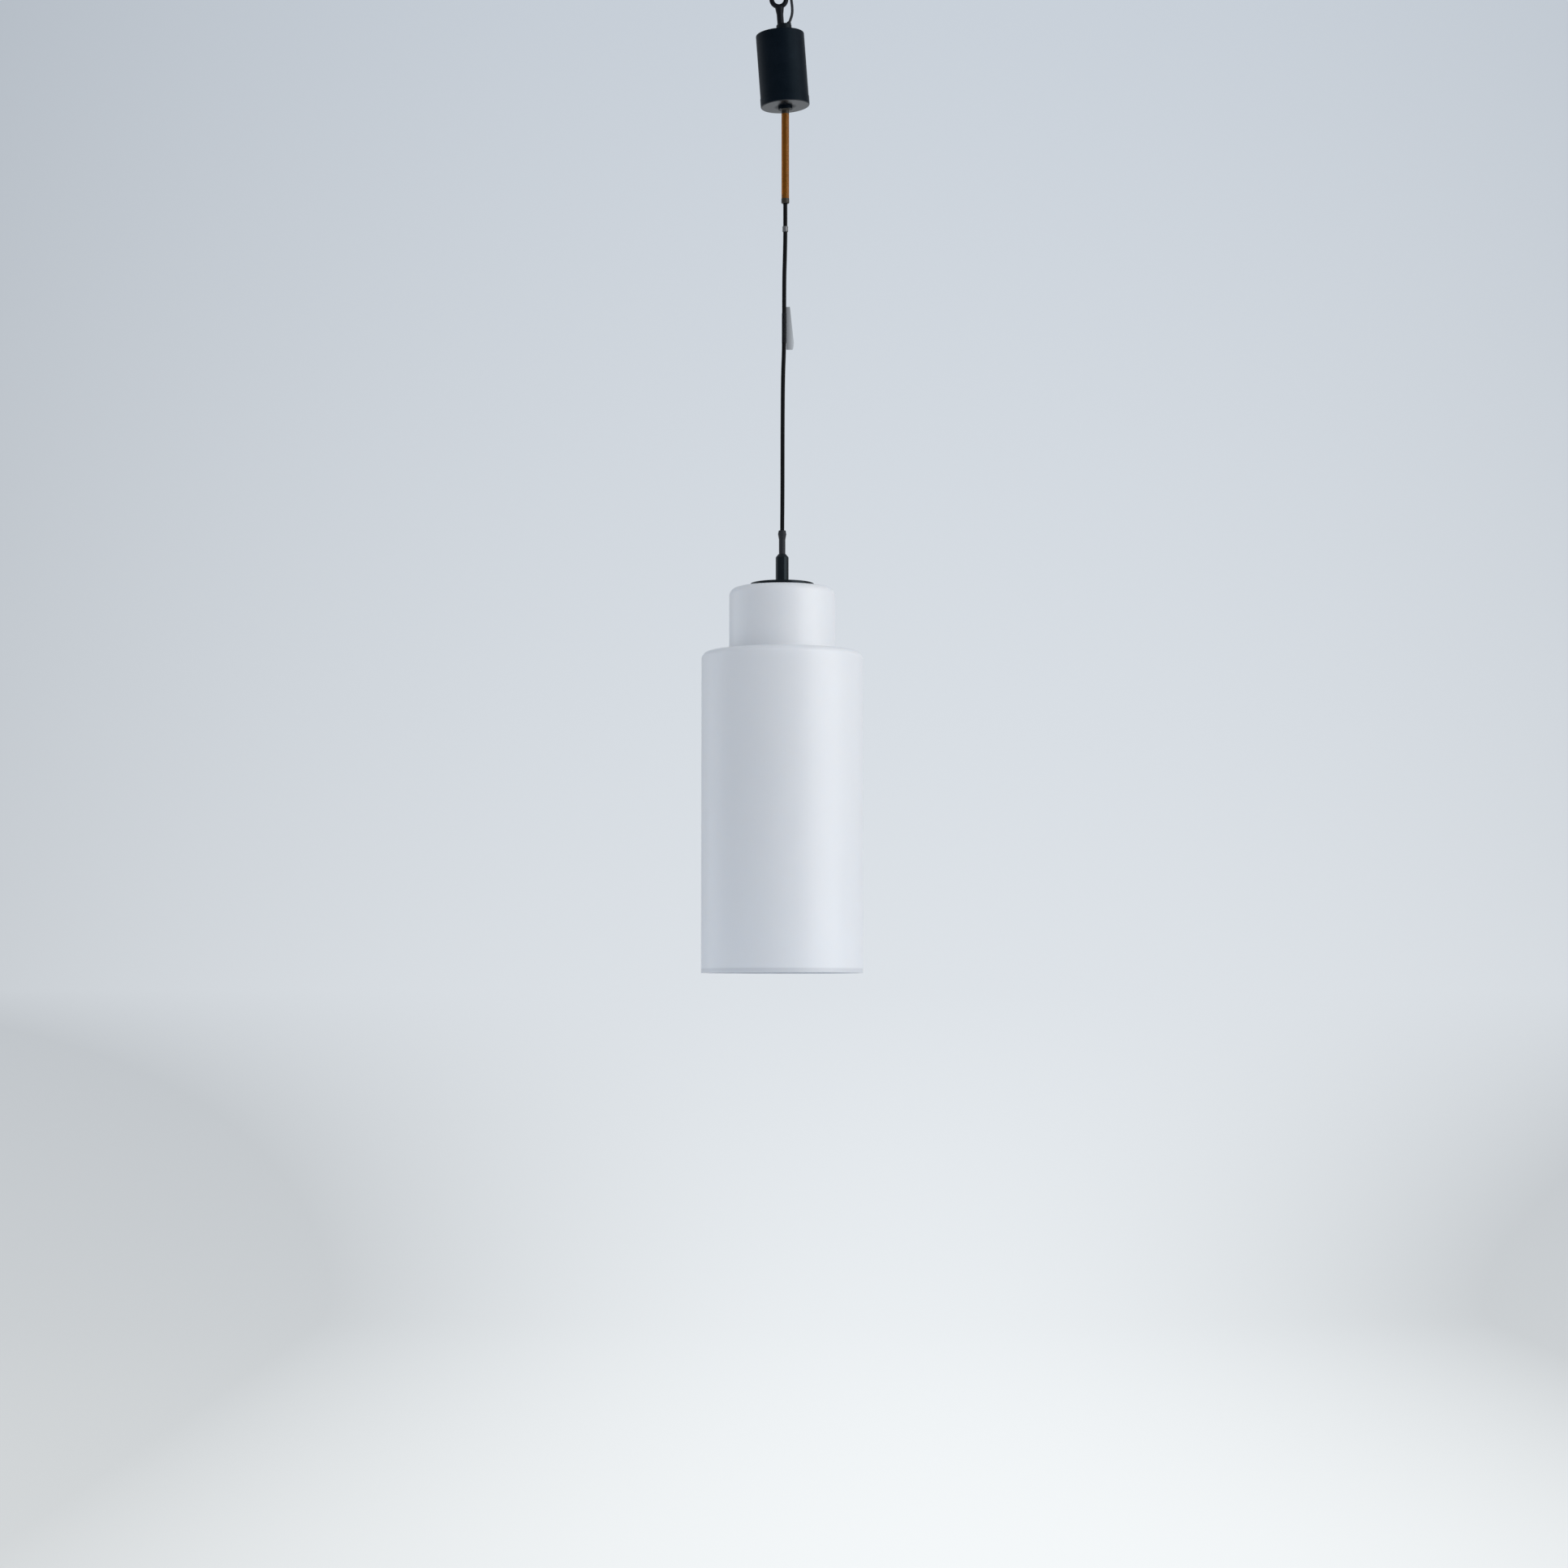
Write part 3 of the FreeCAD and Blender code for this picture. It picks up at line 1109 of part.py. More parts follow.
def guide_tip():
    """The dark bush in the tube's lower end, which the crimped stop comes up against."""
    top, foot = "-guide_length + tip_length", "-guide_length"
    corners = [
        ("guide_bore", f"{top} + guide_overlap - joint_gap"),
        ("guide_spigot", f"{top} + guide_overlap - joint_gap"), ("guide_spigot", top), ("tip_radius", top),
        ("tip_radius", f"{foot} + tip_bevel"), ("tip_radius - tip_bevel", foot), ("guide_bore", foot),
    ]
    return keep(lathe("guide_tip", corners, GUIDE), "guide_tip")


# ---------------------------------------------------------------- lamp

GRIP_FOOT = "(felt_thick + cap_thick + cap_nut_height)"
SLEEVE_FOOT = f"({GRIP_FOOT} + grip_height)"


def lamp_cords():
    """The cord above and below the crimped stop, and down into the grip."""
    spot = (NOZZLE_X, "0", f"{NOZZLE_Z} - guide_length - stop_gap")
    upper = cylinder("upper_cord", "cord_radius", "guide_length + stop_gap + ball_radius", spot)
    nozzle_point = tilted_point(0, 0, 0)
    glass_top = nozzle_point.z - mm.lamp_drop
    top = nozzle_point.z - mm.guide_length - mm.stop_gap
    bends = [(mm.lamp_offset + x, 0, glass_top + z) for x, z in CORD_BENDS]
    grip_foot = mm.felt_thick + mm.cap_thick + mm.cap_nut_height
    tail = (mm.lamp_offset, 0, glass_top + grip_foot + mm.cord_tail)
    route = [(nozzle_point.x, 0, top), (nozzle_point.x, 0, top - 2 * mm.stop_length), *bends, tail]
    lower = tube_along("lower_cord", route, mm.cord_radius)
    return keep(upper, "upper_cord"), keep(lower, "lower_cord")


def crimped_stop():
    """The bright ferrule crimped on the cord, which stops the lamp at the guide's tip."""
    bore = "cord_radius + joint_gap"
    corners = [(bore, "-stop_length"), ("stop_radius", "-stop_length"), ("stop_radius", "0"), (bore, "0")]
    body = lathe("crimped_stop", corners, (NOZZLE_X, "0", f"{NOZZLE_Z} - guide_length - stop_gap"))
    ends = [(mm.stop_radius, 0.0), (mm.stop_radius, -mm.stop_length)]
    dress(body, "Fillet", ends, "stop_round", "stop_edges")
    return keep(body, "crimped_stop")


def cord_flag():
    """The thin grey flag folded round the cord, its free edge wider at the foot."""
    spot = ("lamp_offset + tag_offset", "0", f"{NOZZLE_Z} - lamp_drop + tag_top - tag_length")
    bore = "cord_radius + sleeve_bore_gap"
    outer = f"{bore} + tag_wrap"
    low, high = "tag_fold_inset", "tag_length - tag_fold_inset"
    corners = [(bore, low), (outer, low), (outer, high), (bore, high)]
    wrap = lathe("flag_wrap", corners, CEILING)
    fin = new_body("flag_fin", CEILING)
    sheet_outline = new_sketch(fin, "fin_outline", "XZ_Plane")
    draw_outline(sheet_outline, [
        (f"{bore} + tag_wrap / 2", "0"), ("tag_foot_reach", "tag_foot_rise"),
        ("tag_reach", "tag_corner"), (f"{outer} + tag_head", "tag_length"),
        (f"{bore} + tag_wrap / 2", "tag_length"),
    ])
    pad(fin, sheet_outline, "tag_wrap", middle=True)
    flag = join("cord_flag", [wrap, fin])
    put(flag, spot)
    return keep(flag, "cord_flag")


def strain_relief():
    """The rubber sleeve over the cord above the grip, flared at its mouth."""
    bore, top = "cord_radius + sleeve_bore_gap", f"{SLEEVE_FOOT} + sleeve_height"
    corners = [
        (bore, f"{SLEEVE_FOOT} - sleeve_sink"), ("sleeve_spigot", f"{SLEEVE_FOOT} - sleeve_sink"),
        ("sleeve_spigot", SLEEVE_FOOT), ("sleeve_radius", SLEEVE_FOOT),
        ("sleeve_radius", f"{top} - sleeve_mouth"), ("sleeve_flare", f"{top} - sleeve_lip_height"),
        ("sleeve_flare - sleeve_lip", top), (bore, top),
    ]
    return keep(lathe("strain_relief", corners, LAMP), "strain_relief")


def cord_grip():
    """The turned grip that clamps the cord and screws on the nipple."""
    foot, top = GRIP_FOOT, SLEEVE_FOOT
    thread, shoulder = "nipple_radius + joint_gap", f"{foot} + grip_thread_depth"
    throat = "sleeve_spigot + joint_gap"
    corners = [
        (thread, foot), ("grip_radius", foot), ("grip_radius", f"{top} - grip_cone"),
        ("grip_top_radius", top), (throat, top), (throat, shoulder), (thread, shoulder),
    ]
    body = lathe("cord_grip", corners, LAMP)
    hole = new_sketch(body, "grip_screw_hole", "XZ_Plane")
    draw_circle(hole, "0", f"{foot} + grip_screw_height", "grip_screw + joint_gap")
    pocket(body, hole, "grip_radius + 1")
    return keep(body, "cord_grip")


def grip_screw():
    """The grub screw through the grip's back, tight on the cord."""
    height = f"{NOZZLE_Z} - lamp_drop + {GRIP_FOOT} + grip_screw_height"
    spot = ("lamp_offset", "grip_radius - grub_sink", height)
    length = "grip_radius - grub_sink - cord_radius - joint_gap"
    return keep(cylinder("grip_grub", "grip_screw", length, spot, "vector(1; 0; 0); 90"), "grip_screw")


def cap_nut():
    """The nut on the nipple that draws the cap down on the glass."""
    foot = "felt_thick + cap_thick"
    bore = "nipple_radius + joint_gap"
    return keep(nut("cap_nut", "cap_nut_flats", "cap_nut_height", bore, foot, LAMP), "cap_nut")


def glass_cap():
    """The black metal cap on the glass, its rim turned down over the felt."""
    top = "felt_thick + cap_thick"
    inner = "cap_radius - cap_wall"
    corners = [
        ("nipple_radius + joint_gap", "felt_thick"), ("nipple_radius + joint_gap", top),
        ("cap_radius", top), ("cap_radius", "cap_clear"),
        (inner, "cap_clear"), (inner, "felt_thick"),
    ]
    body = lathe("glass_cap", corners, LAMP)
    dress(body, "Fillet", [(mm.cap_radius, mm.felt_thick + mm.cap_thick)], "cap_round", "cap_edge")
    return keep(body, "glass_cap")


def felt_rings():
    """The two soft rings that hold the glass between the cap and the inner plate."""
    rings = []
    for name, foot in (("upper", "0"), ("lower", "-glass_wall - felt_thick")):
        corners = [("felt_inner", foot), ("felt_outer", foot), ("felt_outer", f"{foot} + felt_thick"),
                   ("felt_inner", f"{foot} + felt_thick")]
        rings.append(keep(lathe(f"{name}_felt", corners, LAMP), f"{name}_felt"))
    return rings


def glass_shade():
    """The blown opal glass: a neck with a rounded top, a shoulder, and a wide body open below."""
    shoulder, foot = "-neck_drop", "-glass_height"
    inner_neck, inner_body = "neck_radius - glass_wall", "body_radius - glass_wall"
    corners = [
        ("glass_hole", "0"), ("neck_radius", "0"), ("neck_radius", shoulder), ("body_radius", shoulder),
        ("body_radius", foot), (inner_body, foot), (inner_body, f"{shoulder} - glass_wall"),
        (inner_neck, f"{shoulder} - glass_wall"), (inner_neck, "-glass_wall"), ("glass_hole", "-glass_wall"),
    ]
    body = lathe("glass_shade", corners, LAMP)
    neck_inside, body_inside = mm.neck_radius - mm.glass_wall, mm.body_radius - mm.glass_wall
    under_shoulder = -mm.neck_drop - mm.glass_wall
    dress(body, "Fillet", [(mm.neck_radius, 0.0)], "neck_round", "neck_corner")
    dress(body, "Fillet", [(neck_inside, -mm.glass_wall)], "neck_round - glass_wall", "neck_inner_corner")
    dress(body, "Fillet", [(mm.body_radius, -mm.neck_drop)], "body_round", "shoulder_corner")
    dress(body, "Fillet", [(mm.neck_radius, -mm.neck_drop)], "foot_round", "neck_foot")
    dress(body, "Fillet", [(neck_inside, under_shoulder)], "foot_round + glass_wall / 2", "neck_mouth")
    dress(body, "Fillet", [(body_inside, under_shoulder)], "body_round - glass_wall", "shoulder_inner_corner")
    rim = [(mm.body_radius, -mm.glass_height), (body_inside, -mm.glass_height)]
    dress(body, "Chamfer", rim, "rim_bevel", "ground_rim")
    return keep(body, "glass_shade")


PLATE_TOP = "(-glass_wall - felt_thick)"
NUT_FOOT = f"({PLATE_TOP} - inner_plate_thick - nipple_nut_height)"
COLLAR_TOP = f"({NUT_FOOT} - holder_drop)"
CAP_FOOT = f"({COLLAR_TOP} - holder_cap_height)"


def inner_plate():
    """The steel disc under the glass's roof, which the glass hangs on."""
    foot = f"{PLATE_TOP} - inner_plate_thick"
    bore = "nipple_radius + joint_gap"
    rim = "inner_plate_radius"
    corners = [(bore, foot), (rim, foot), (rim, PLATE_TOP), (bore, PLATE_TOP)]
    return keep(lathe("inner_plate", corners, LAMP), "inner_plate")


def nipple():
    """The threaded tube that draws the cap and the inner plate together and carries the lampholder."""
    top = f"{GRIP_FOOT} + grip_thread_depth - joint_gap"
    foot = f"{COLLAR_TOP} - holder_collar_height + joint_gap"
    corners = [("nipple_bore", foot), ("nipple_radius", foot), ("nipple_radius", top), ("nipple_bore", top)]
    return keep(lathe("nipple", corners, LAMP), "nipple")


def nipple_nut():
    """The nut that holds the inner plate up against its felt."""
    bore = "nipple_radius + joint_gap"
    piece = nut("nipple_nut", "nipple_nut_flats", "nipple_nut_height", bore, NUT_FOOT, LAMP)
    return keep(piece, "nipple_nut")


def holder_cap():
    """The lampholder's upper shell: a threaded neck, a slope and a skirt."""
    collar_foot = f"({COLLAR_TOP} - holder_collar_height)"
    slope_foot = f"({collar_foot} - holder_cone)"
    bore, wall = "nipple_radius + joint_gap", "holder_wall"
    corners = [
        (bore, COLLAR_TOP), ("holder_collar", COLLAR_TOP), ("holder_collar", collar_foot),
        ("holder_radius", slope_foot), ("holder_radius", CAP_FOOT), (f"holder_radius - {wall}", CAP_FOOT),
        (f"holder_radius - {wall}", slope_foot), (f"holder_collar - {wall}", f"{collar_foot} - {wall}"),
        (bore, f"{collar_foot} - {wall}"),
    ]
    return keep(lathe("holder_cap", corners, LAMP), "holder_cap")


def holder_shell():
    """The lampholder's lower shell, with its threaded bore for the bulb and a grip ring."""
    foot = f"({CAP_FOOT} - holder_shell_height)"
    ring = "holder_radius + holder_step"
    low = f"({foot} + holder_ring_foot)"
    high = f"({low} + holder_ring_height)"
    corners = [
        ("holder_mouth", CAP_FOOT), ("holder_radius", CAP_FOOT), ("holder_radius", f"{high} + holder_step"),
        (ring, high), (ring, low), ("holder_radius", f"{low} - holder_step"),
        ("holder_radius", foot), ("holder_mouth", foot),
    ]
    return keep(lathe("holder_shell", corners, LAMP), "holder_shell")


def holder_insert():
    """The ceramic insert above the bulb's cap, and the sprung contact under it."""
    top = f"({COLLAR_TOP} - holder_collar_height - holder_cone)"
    corners = [("0", CAP_FOOT), ("insert_radius", CAP_FOOT), ("insert_radius", top), ("0", top)]
    insert = lathe("holder_insert", corners, LAMP)
    low = f"({CAP_FOOT} - contact_height)"
    button = [("0", low), ("contact_radius", low), ("contact_radius", CAP_FOOT), ("0", CAP_FOOT)]
    return keep(insert, "holder_insert"), keep(lathe("holder_contact", button, LAMP), "holder_contact")


BULB_TOP = f"({CAP_FOOT} - contact_height)"


def bulb_parts():
    """The bulb: its screw cap and its round opal glass."""
    tip_foot = f"({BULB_TOP} - lamp_cap_tip_height)"
    foot = f"({tip_foot} - lamp_cap_height)"
    corners = [
        ("0", BULB_TOP), ("lamp_cap_tip", BULB_TOP), ("lamp_cap_radius - lamp_cap_bevel", tip_foot),
        ("lamp_cap_radius", f"{tip_foot} - lamp_cap_bevel"), ("lamp_cap_radius", foot), ("0", foot),
    ]
    screw_cap = lathe("bulb_cap", corners, LAMP)
    stack = mm.glass_wall + mm.felt_thick + mm.inner_plate_thick + mm.nipple_nut_height + mm.holder_drop
    stack += mm.holder_cap_height + mm.contact_height + mm.lamp_cap_tip_height + mm.lamp_cap_height
    centre_z = -stack - mm.bulb_length + mm.bulb_radius
    slope = math.radians(mm.bulb_slope)
    outward = Vector(math.cos(slope), 0, math.sin(slope))
    up_the_neck = Vector(-math.sin(slope), 0, math.cos(slope))
    walls = []
    for inset in (0.0, mm.bulb_wall):
        reach = mm.bulb_radius - inset
        neck = Vector(mm.bulb_neck - inset, 0, -stack)
        meet = Vector(0, 0, centre_z) + outward * reach
        bottom = Vector(0, 0, centre_z - reach)
        walls.append((neck, meet, bottom))
        walls[-1] += (arc_from(meet, up_the_neck, neck), Part.Arc(meet, Vector(reach, 0, centre_z), bottom))
    (neck, _, bottom, slope_arc, ball_arc), (inner_neck, _, inner_bottom, inner_slope, inner_ball) = walls
    outline = Part.Wire([
        Part.LineSegment(inner_neck, neck).toShape(), slope_arc.toShape(), ball_arc.toShape(),
        Part.LineSegment(bottom, inner_bottom).toShape(), inner_ball.toShape(), inner_slope.toShape(),
    ])
    globe = doc.addObject("Part::Feature", "bulb_glass")
    globe.Shape = Part.Face(outline).revolve(Vector(0, 0, 0), Vector(0, 0, 1), 360)
    put(globe, LAMP)
    return keep(screw_cap, "bulb_cap"), keep(globe, "bulb_glass")


BUILDERS = [
    ceiling_plate, ceiling_hook, hook_nut, canopy_cup, canopy_collar, collar_screw, canopy_grommet,
    terminal_block, terminal_screws, supply_cords,
    hanger_eye, hanger_nut, top_boss, supply_gland, reel_shell, bottom_cover, cover_screws, reel_frame,
    nozzle, fairlead, drum_axle, axle_clips, spring_arbor, brush_parts, feed_cord,
    cord_drum, drum_lid, mainspring, slip_rings, wound_cord,
    guide_ball, guide_tube, guide_tip,
    lamp_cords, crimped_stop, cord_flag, strain_relief, cord_grip, grip_screw, cap_nut, glass_cap,
    felt_rings, glass_shade, inner_plate, nipple, nipple_nut, holder_cap, holder_shell, holder_insert,
    bulb_parts,
]

for build in BUILDERS:
    build()
doc.recompute()

for item in doc.Objects:
    if {"Invalid", "Error"} & set(item.State):
        raise RuntimeError(f"{item.Name} failed to build: {item.State}")
for piece in made:
    if piece.Shape.isNull() or not piece.Shape.isValid():
        raise RuntimeError(f"{piece.Label} has no valid shape")

os.makedirs("parts", exist_ok=True)
for piece in made:
    piece.Shape.exportStep(f"parts/{piece.Label}.step")
print(f"{len(made)} pieces written")
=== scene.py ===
"""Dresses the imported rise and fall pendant: camera and cords, then each sub-assembly with its finishes."""

import logging
import math
from dataclasses import dataclass
from enum import Enum
from functools import cache
from typing import Iterable, Sequence

import bmesh
import bpy
from mathutils import Matrix, Vector


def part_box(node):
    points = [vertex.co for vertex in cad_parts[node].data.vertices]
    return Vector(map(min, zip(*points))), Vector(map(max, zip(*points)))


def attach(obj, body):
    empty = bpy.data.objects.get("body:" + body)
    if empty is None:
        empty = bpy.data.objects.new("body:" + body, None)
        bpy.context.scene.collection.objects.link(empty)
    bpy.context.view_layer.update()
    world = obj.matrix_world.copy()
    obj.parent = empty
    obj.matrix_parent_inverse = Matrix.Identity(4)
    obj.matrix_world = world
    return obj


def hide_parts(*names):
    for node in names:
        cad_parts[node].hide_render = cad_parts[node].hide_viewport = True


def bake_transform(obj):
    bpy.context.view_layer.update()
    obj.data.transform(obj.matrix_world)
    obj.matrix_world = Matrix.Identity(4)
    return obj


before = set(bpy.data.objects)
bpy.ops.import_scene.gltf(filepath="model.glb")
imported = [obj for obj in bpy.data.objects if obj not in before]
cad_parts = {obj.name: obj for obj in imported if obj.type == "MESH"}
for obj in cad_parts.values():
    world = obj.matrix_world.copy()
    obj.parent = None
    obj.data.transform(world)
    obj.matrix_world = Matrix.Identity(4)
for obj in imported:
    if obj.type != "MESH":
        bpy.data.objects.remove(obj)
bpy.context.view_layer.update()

log = logging.getLogger("pendant")

Point = tuple[float, float, float]
Colour = tuple[float, float, float]
Flat = tuple[float, float]


# ---------------------------------------------------------------- sizes shared with the CAD, in metres

PIVOT_DROP = 0.0765
EYE_HEIGHT = 0.1404
EYE_OFFSET = 0.0020
REEL_TILT = math.radians(4.2)
LAMP_DROP = 0.6068
LAMP_X = 0.0044
DRUM_HEIGHT = 0.050
GUIDE_LENGTH = 0.123
STOP_GAP = 0.029
STOP_LENGTH = 0.007
CORD_RADIUS = 0.0026
FLEX_RADIUS = 0.0017
GRIP_FOOT = 0.0088
CORD_TAIL = 0.020
FLAG_OFFSET = 0.00245

NOZZLE = Vector((
    EYE_HEIGHT * math.sin(REEL_TILT) - EYE_OFFSET * math.cos(REEL_TILT),
    0.0,
    -PIVOT_DROP - EYE_HEIGHT * math.cos(REEL_TILT) - EYE_OFFSET * math.sin(REEL_TILT),
))
GLASS_TOP = NOZZLE.z - LAMP_DROP
STOP_TOP = NOZZLE.z - GUIDE_LENGTH - STOP_GAP


# ---------------------------------------------------------------- angles and limits of the meshes

TURN = 2 * math.pi
SHARP = math.radians(35)
SCREW_SHARP = math.radians(30)
ON_AXIS = 1e-7


def reel_point(x: float, y: float, z: float) -> Vector:
    """Places a point of the upright reel in the frame.

    Args:
        x: Sideways from the nozzle's centre, in metres.
        y: Away from the viewer.
        z: Up along the reel.

    Returns:
        The point once the reel leans.
    """
    along, across = math.sin(REEL_TILT), math.cos(REEL_TILT)
    return NOZZLE + Vector((x * across - z * along, y, x * along + z * across))


# ---------------------------------------------------------------- node building


class Value:
    """A node's output socket that ordinary arithmetic works on."""

    def __init__(self, graph: "Graph", socket: bpy.types.NodeSocket) -> None:
        self.graph = graph
        self.socket = socket

    def _maths(self, operation: str, *operands: object) -> "Value":
        """Adds a Math node.

        Args:
            operation: The node's operation.
            operands: Values or numbers, in the node's order.

        Returns:
            The node's result.
        """
        return self.graph.node("ShaderNodeMath", {"operation": operation}, dict(enumerate(operands)))

    def __add__(self, other: object) -> "Value":
        return self._maths("ADD", self, other)

    __radd__ = __add__

    def __sub__(self, other: object) -> "Value":
        return self._maths("SUBTRACT", self, other)

    def __rsub__(self, other: object) -> "Value":
        return self._maths("SUBTRACT", other, self)

    def __mul__(self, other: object) -> "Value":
        return self._maths("MULTIPLY", self, other)

    __rmul__ = __mul__

    def __pow__(self, other: object) -> "Value":
        return self._maths("POWER", self, other)

    def under(self, limit: float) -> "Value":
        """Returns 1 where this value is under limit, and 0 elsewhere."""
        return self._maths("LESS_THAN", self, limit)

    def most(self, limit: float) -> "Value":
        """Returns this value, or limit where it is over it."""
        return self._maths("MINIMUM", self, limit)

    def clamped(self) -> "Value":
        """Returns this value kept between 0 and 1."""
        return self._maths("MAXIMUM", self, 0.0).most(1.0)

    def ramped(self, low: float, high: float) -> "Value":
        """Maps low to 0 and high to 1, and holds both beyond them."""
        return ((self - low) * (1.0 / (high - low))).clamped()


class Graph:
    """A node tree that is filled through one method."""

    def __init__(self, tree: bpy.types.NodeTree) -> None:
        self.tree = tree

    def node(self, kind: str, settings: dict | None = None, inputs: dict | None = None,
             output: str | int = 0) -> Value:
        """Adds a node.

        Args:
            kind: The node's type name.
            settings: Attributes to set on it.
            inputs: Socket name, identifier or number to a Value or a constant.
            output: Which output to return.

        Returns:
            The chosen output as a Value.
        """
        made = self.tree.nodes.new(kind)
        for name, value in (settings or {}).items():
            setattr(made, name, value)
        for name, value in (inputs or {}).items():
            socket = self.find(made.inputs, name)
            if isinstance(value, Value):
                self.tree.links.new(value.socket, socket)
            else:
                socket.default_value = value
        return Value(self, self.find(made.outputs, output))

    def end(self, kind: str, value: Value) -> None:
        """Adds an output node of that kind and links value to its first socket."""
        self.tree.links.new(value.socket, self.tree.nodes.new(kind).inputs[0])

    @staticmethod
    def find(sockets: bpy.types.bpy_prop_collection, name: str | int) -> bpy.types.NodeSocket:
        """Returns a socket by its number among the enabled ones, its identifier, or its name."""
        usable = [socket for socket in sockets if socket.enabled]
        if isinstance(name, int):
            return usable[name]
        known = {socket.name: socket for socket in reversed(usable)}
        known |= {socket.identifier: socket for socket in usable}
        return known[name]


class Surface(Graph):
    """A material's node tree, with the patterns that the finishes share."""

    def __init__(self, name: str) -> None:
        self.material = bpy.data.materials.new(name)
        self.material.use_nodes = True
        self.material.node_tree.nodes.clear()
        super().__init__(self.material.node_tree)
        self.place = self.node("ShaderNodeTexCoord", output="Object")

    def axes(self) -> tuple[Value, Value, Value]:
        """Returns the x, y and z of the surface point, in metres."""
        split = self.node("ShaderNodeSeparateXYZ", inputs={0: self.place})
        outputs = split.socket.node.outputs
        return tuple(Value(self, outputs[i]) for i in range(3))

    def stretched(self, scale: Point) -> Value:
        """Returns the surface point scaled along each axis, so that a pattern runs long one way."""
        return self.node("ShaderNodeMapping", inputs={"Vector": self.place, "Scale": scale})

    def noise(self, scale: float, detail: float = 3.0, place: Value | None = None) -> Value:
        """Returns a noise between 0 and 1 with that many features a metre."""
        settings = {"noise_dimensions": "3D", "normalize": True}
        inputs = {"Vector": place or self.place, "Scale": scale, "Detail": detail, "Roughness": 0.55}
        return self.node("ShaderNodeTexNoise", settings, inputs)

    def cells(self, scale: float) -> Value:
        """Returns the distance to the nearest of scattered points, for specks."""
        return self.node("ShaderNodeTexVoronoi", {"feature": "F1"}, {"Vector": self.place, "Scale": scale})

    def blend(self, share: Value, first: Colour | Value, second: Colour | Value) -> Value:
        """Returns a colour between two, by share."""
        ends = [end if isinstance(end, Value) else (*end, 1.0) for end in (first, second)]
        inputs = {"Factor_Float": share, "A_Color": ends[0], "B_Color": ends[1]}
        return self.node("ShaderNodeMix", {"data_type": "RGBA"}, inputs, output="Result_Color")

    def bump(self, height: Value, depth: float, strength: float = 1.0) -> Value:
        """Returns a normal that follows height over depth metres."""
        inputs = {"Height": height, "Distance": depth, "Strength": strength}
        return self.node("ShaderNodeBump", inputs=inputs)

    def finish(self, shader: Value) -> bpy.types.Material:
        """Closes the material with its output and returns it."""
        self.end("ShaderNodeOutputMaterial", shader)
        return self.material


DUST_SCALE = 420.0
DUST_SIZE = 0.10
DUST_TONE: Colour = (0.45, 0.45, 0.45)
LIFT = 0.004
GLASS_IOR = 1.5
ACRYLIC_IOR = 1.49


@dataclass(frozen=True)
class Finish:
    """A surface whose colour, gloss and relief vary as the real one's do."""

    name: str
    colour: Colour
    roughness: float = 0.45
    metallic: float = 0.0
    coat: float = 0.0
    coat_roughness: float = 0.05
    specular: float = 0.5
    specular_tint: Colour = (1.0, 1.0, 1.0)
    mottle: float = 0.12
    mottle_scale: float = 55.0
    gloss_spread: float = 0.08
    gloss_ratio: float = 3.0
    grain: float = 900.0
    detail: float = 4.0
    stretch: Point | None = None
    depth: float = 0.00004
    dust: float = 0.0

    def pattern(self, surface: Surface) -> Value:
        """Returns the relief's height between 0 and 1, drawn out along an axis where stretch says so."""
        place = surface.stretched(self.stretch) if self.stretch else None
        return surface.noise(self.grain, self.detail, place)

    def extras(self, surface: Surface) -> dict:
        """Returns what goes to further sockets of the shader."""
        return {}

    def shade(self, surface: Surface) -> Value:
        """Returns the base colour over the surface."""
        light = tuple(min(1.0, c * (1 + self.mottle) + LIFT) for c in self.colour)
        dark = tuple(c * (1 - self.mottle) for c in self.colour)
        base = surface.blend(surface.noise(self.mottle_scale), dark, light)
        if not self.dust:
            return base
        specks = surface.cells(DUST_SCALE).under(DUST_SIZE) * self.dust
        return surface.blend(specks, base, DUST_TONE)

    @cache
    def build(self) -> bpy.types.Material:
        """Returns the material, made once."""
        surface = Surface(self.name)
        dullest = self.roughness - self.gloss_spread / 2
        gloss = dullest + self.gloss_spread * surface.noise(self.mottle_scale * self.gloss_ratio)
        inputs = {
            "Base Color": self.shade(surface),
            "Roughness": gloss,
            "Metallic": self.metallic,
            "Coat Weight": self.coat,
            "Coat Roughness": self.coat_roughness,
            "Specular IOR Level": self.specular,
            "Specular Tint": (*self.specular_tint, 1.0),
            "Normal": surface.bump(self.pattern(surface), self.depth),
            **self.extras(surface),
        }
        return surface.finish(surface.node("ShaderNodeBsdfPrincipled", inputs=inputs))


@dataclass(frozen=True)
class DrawnMetal(Finish):
    """Metal with fine lines left by turning or drawing."""

    metallic: float = 1.0
    gloss_spread: float = 0.14
    detail: float = 3.0
    stretch: Point = (1.0, 1.0, 14.0)
    depth: float = 0.00001


@dataclass(frozen=True)
class Sheath(Finish):
    """A cord's smooth outer sheath, with faint lines along it and dull handled patches."""

    detail: float = 2.0
    stretch: Point = (1.0, 1.0, 0.04)


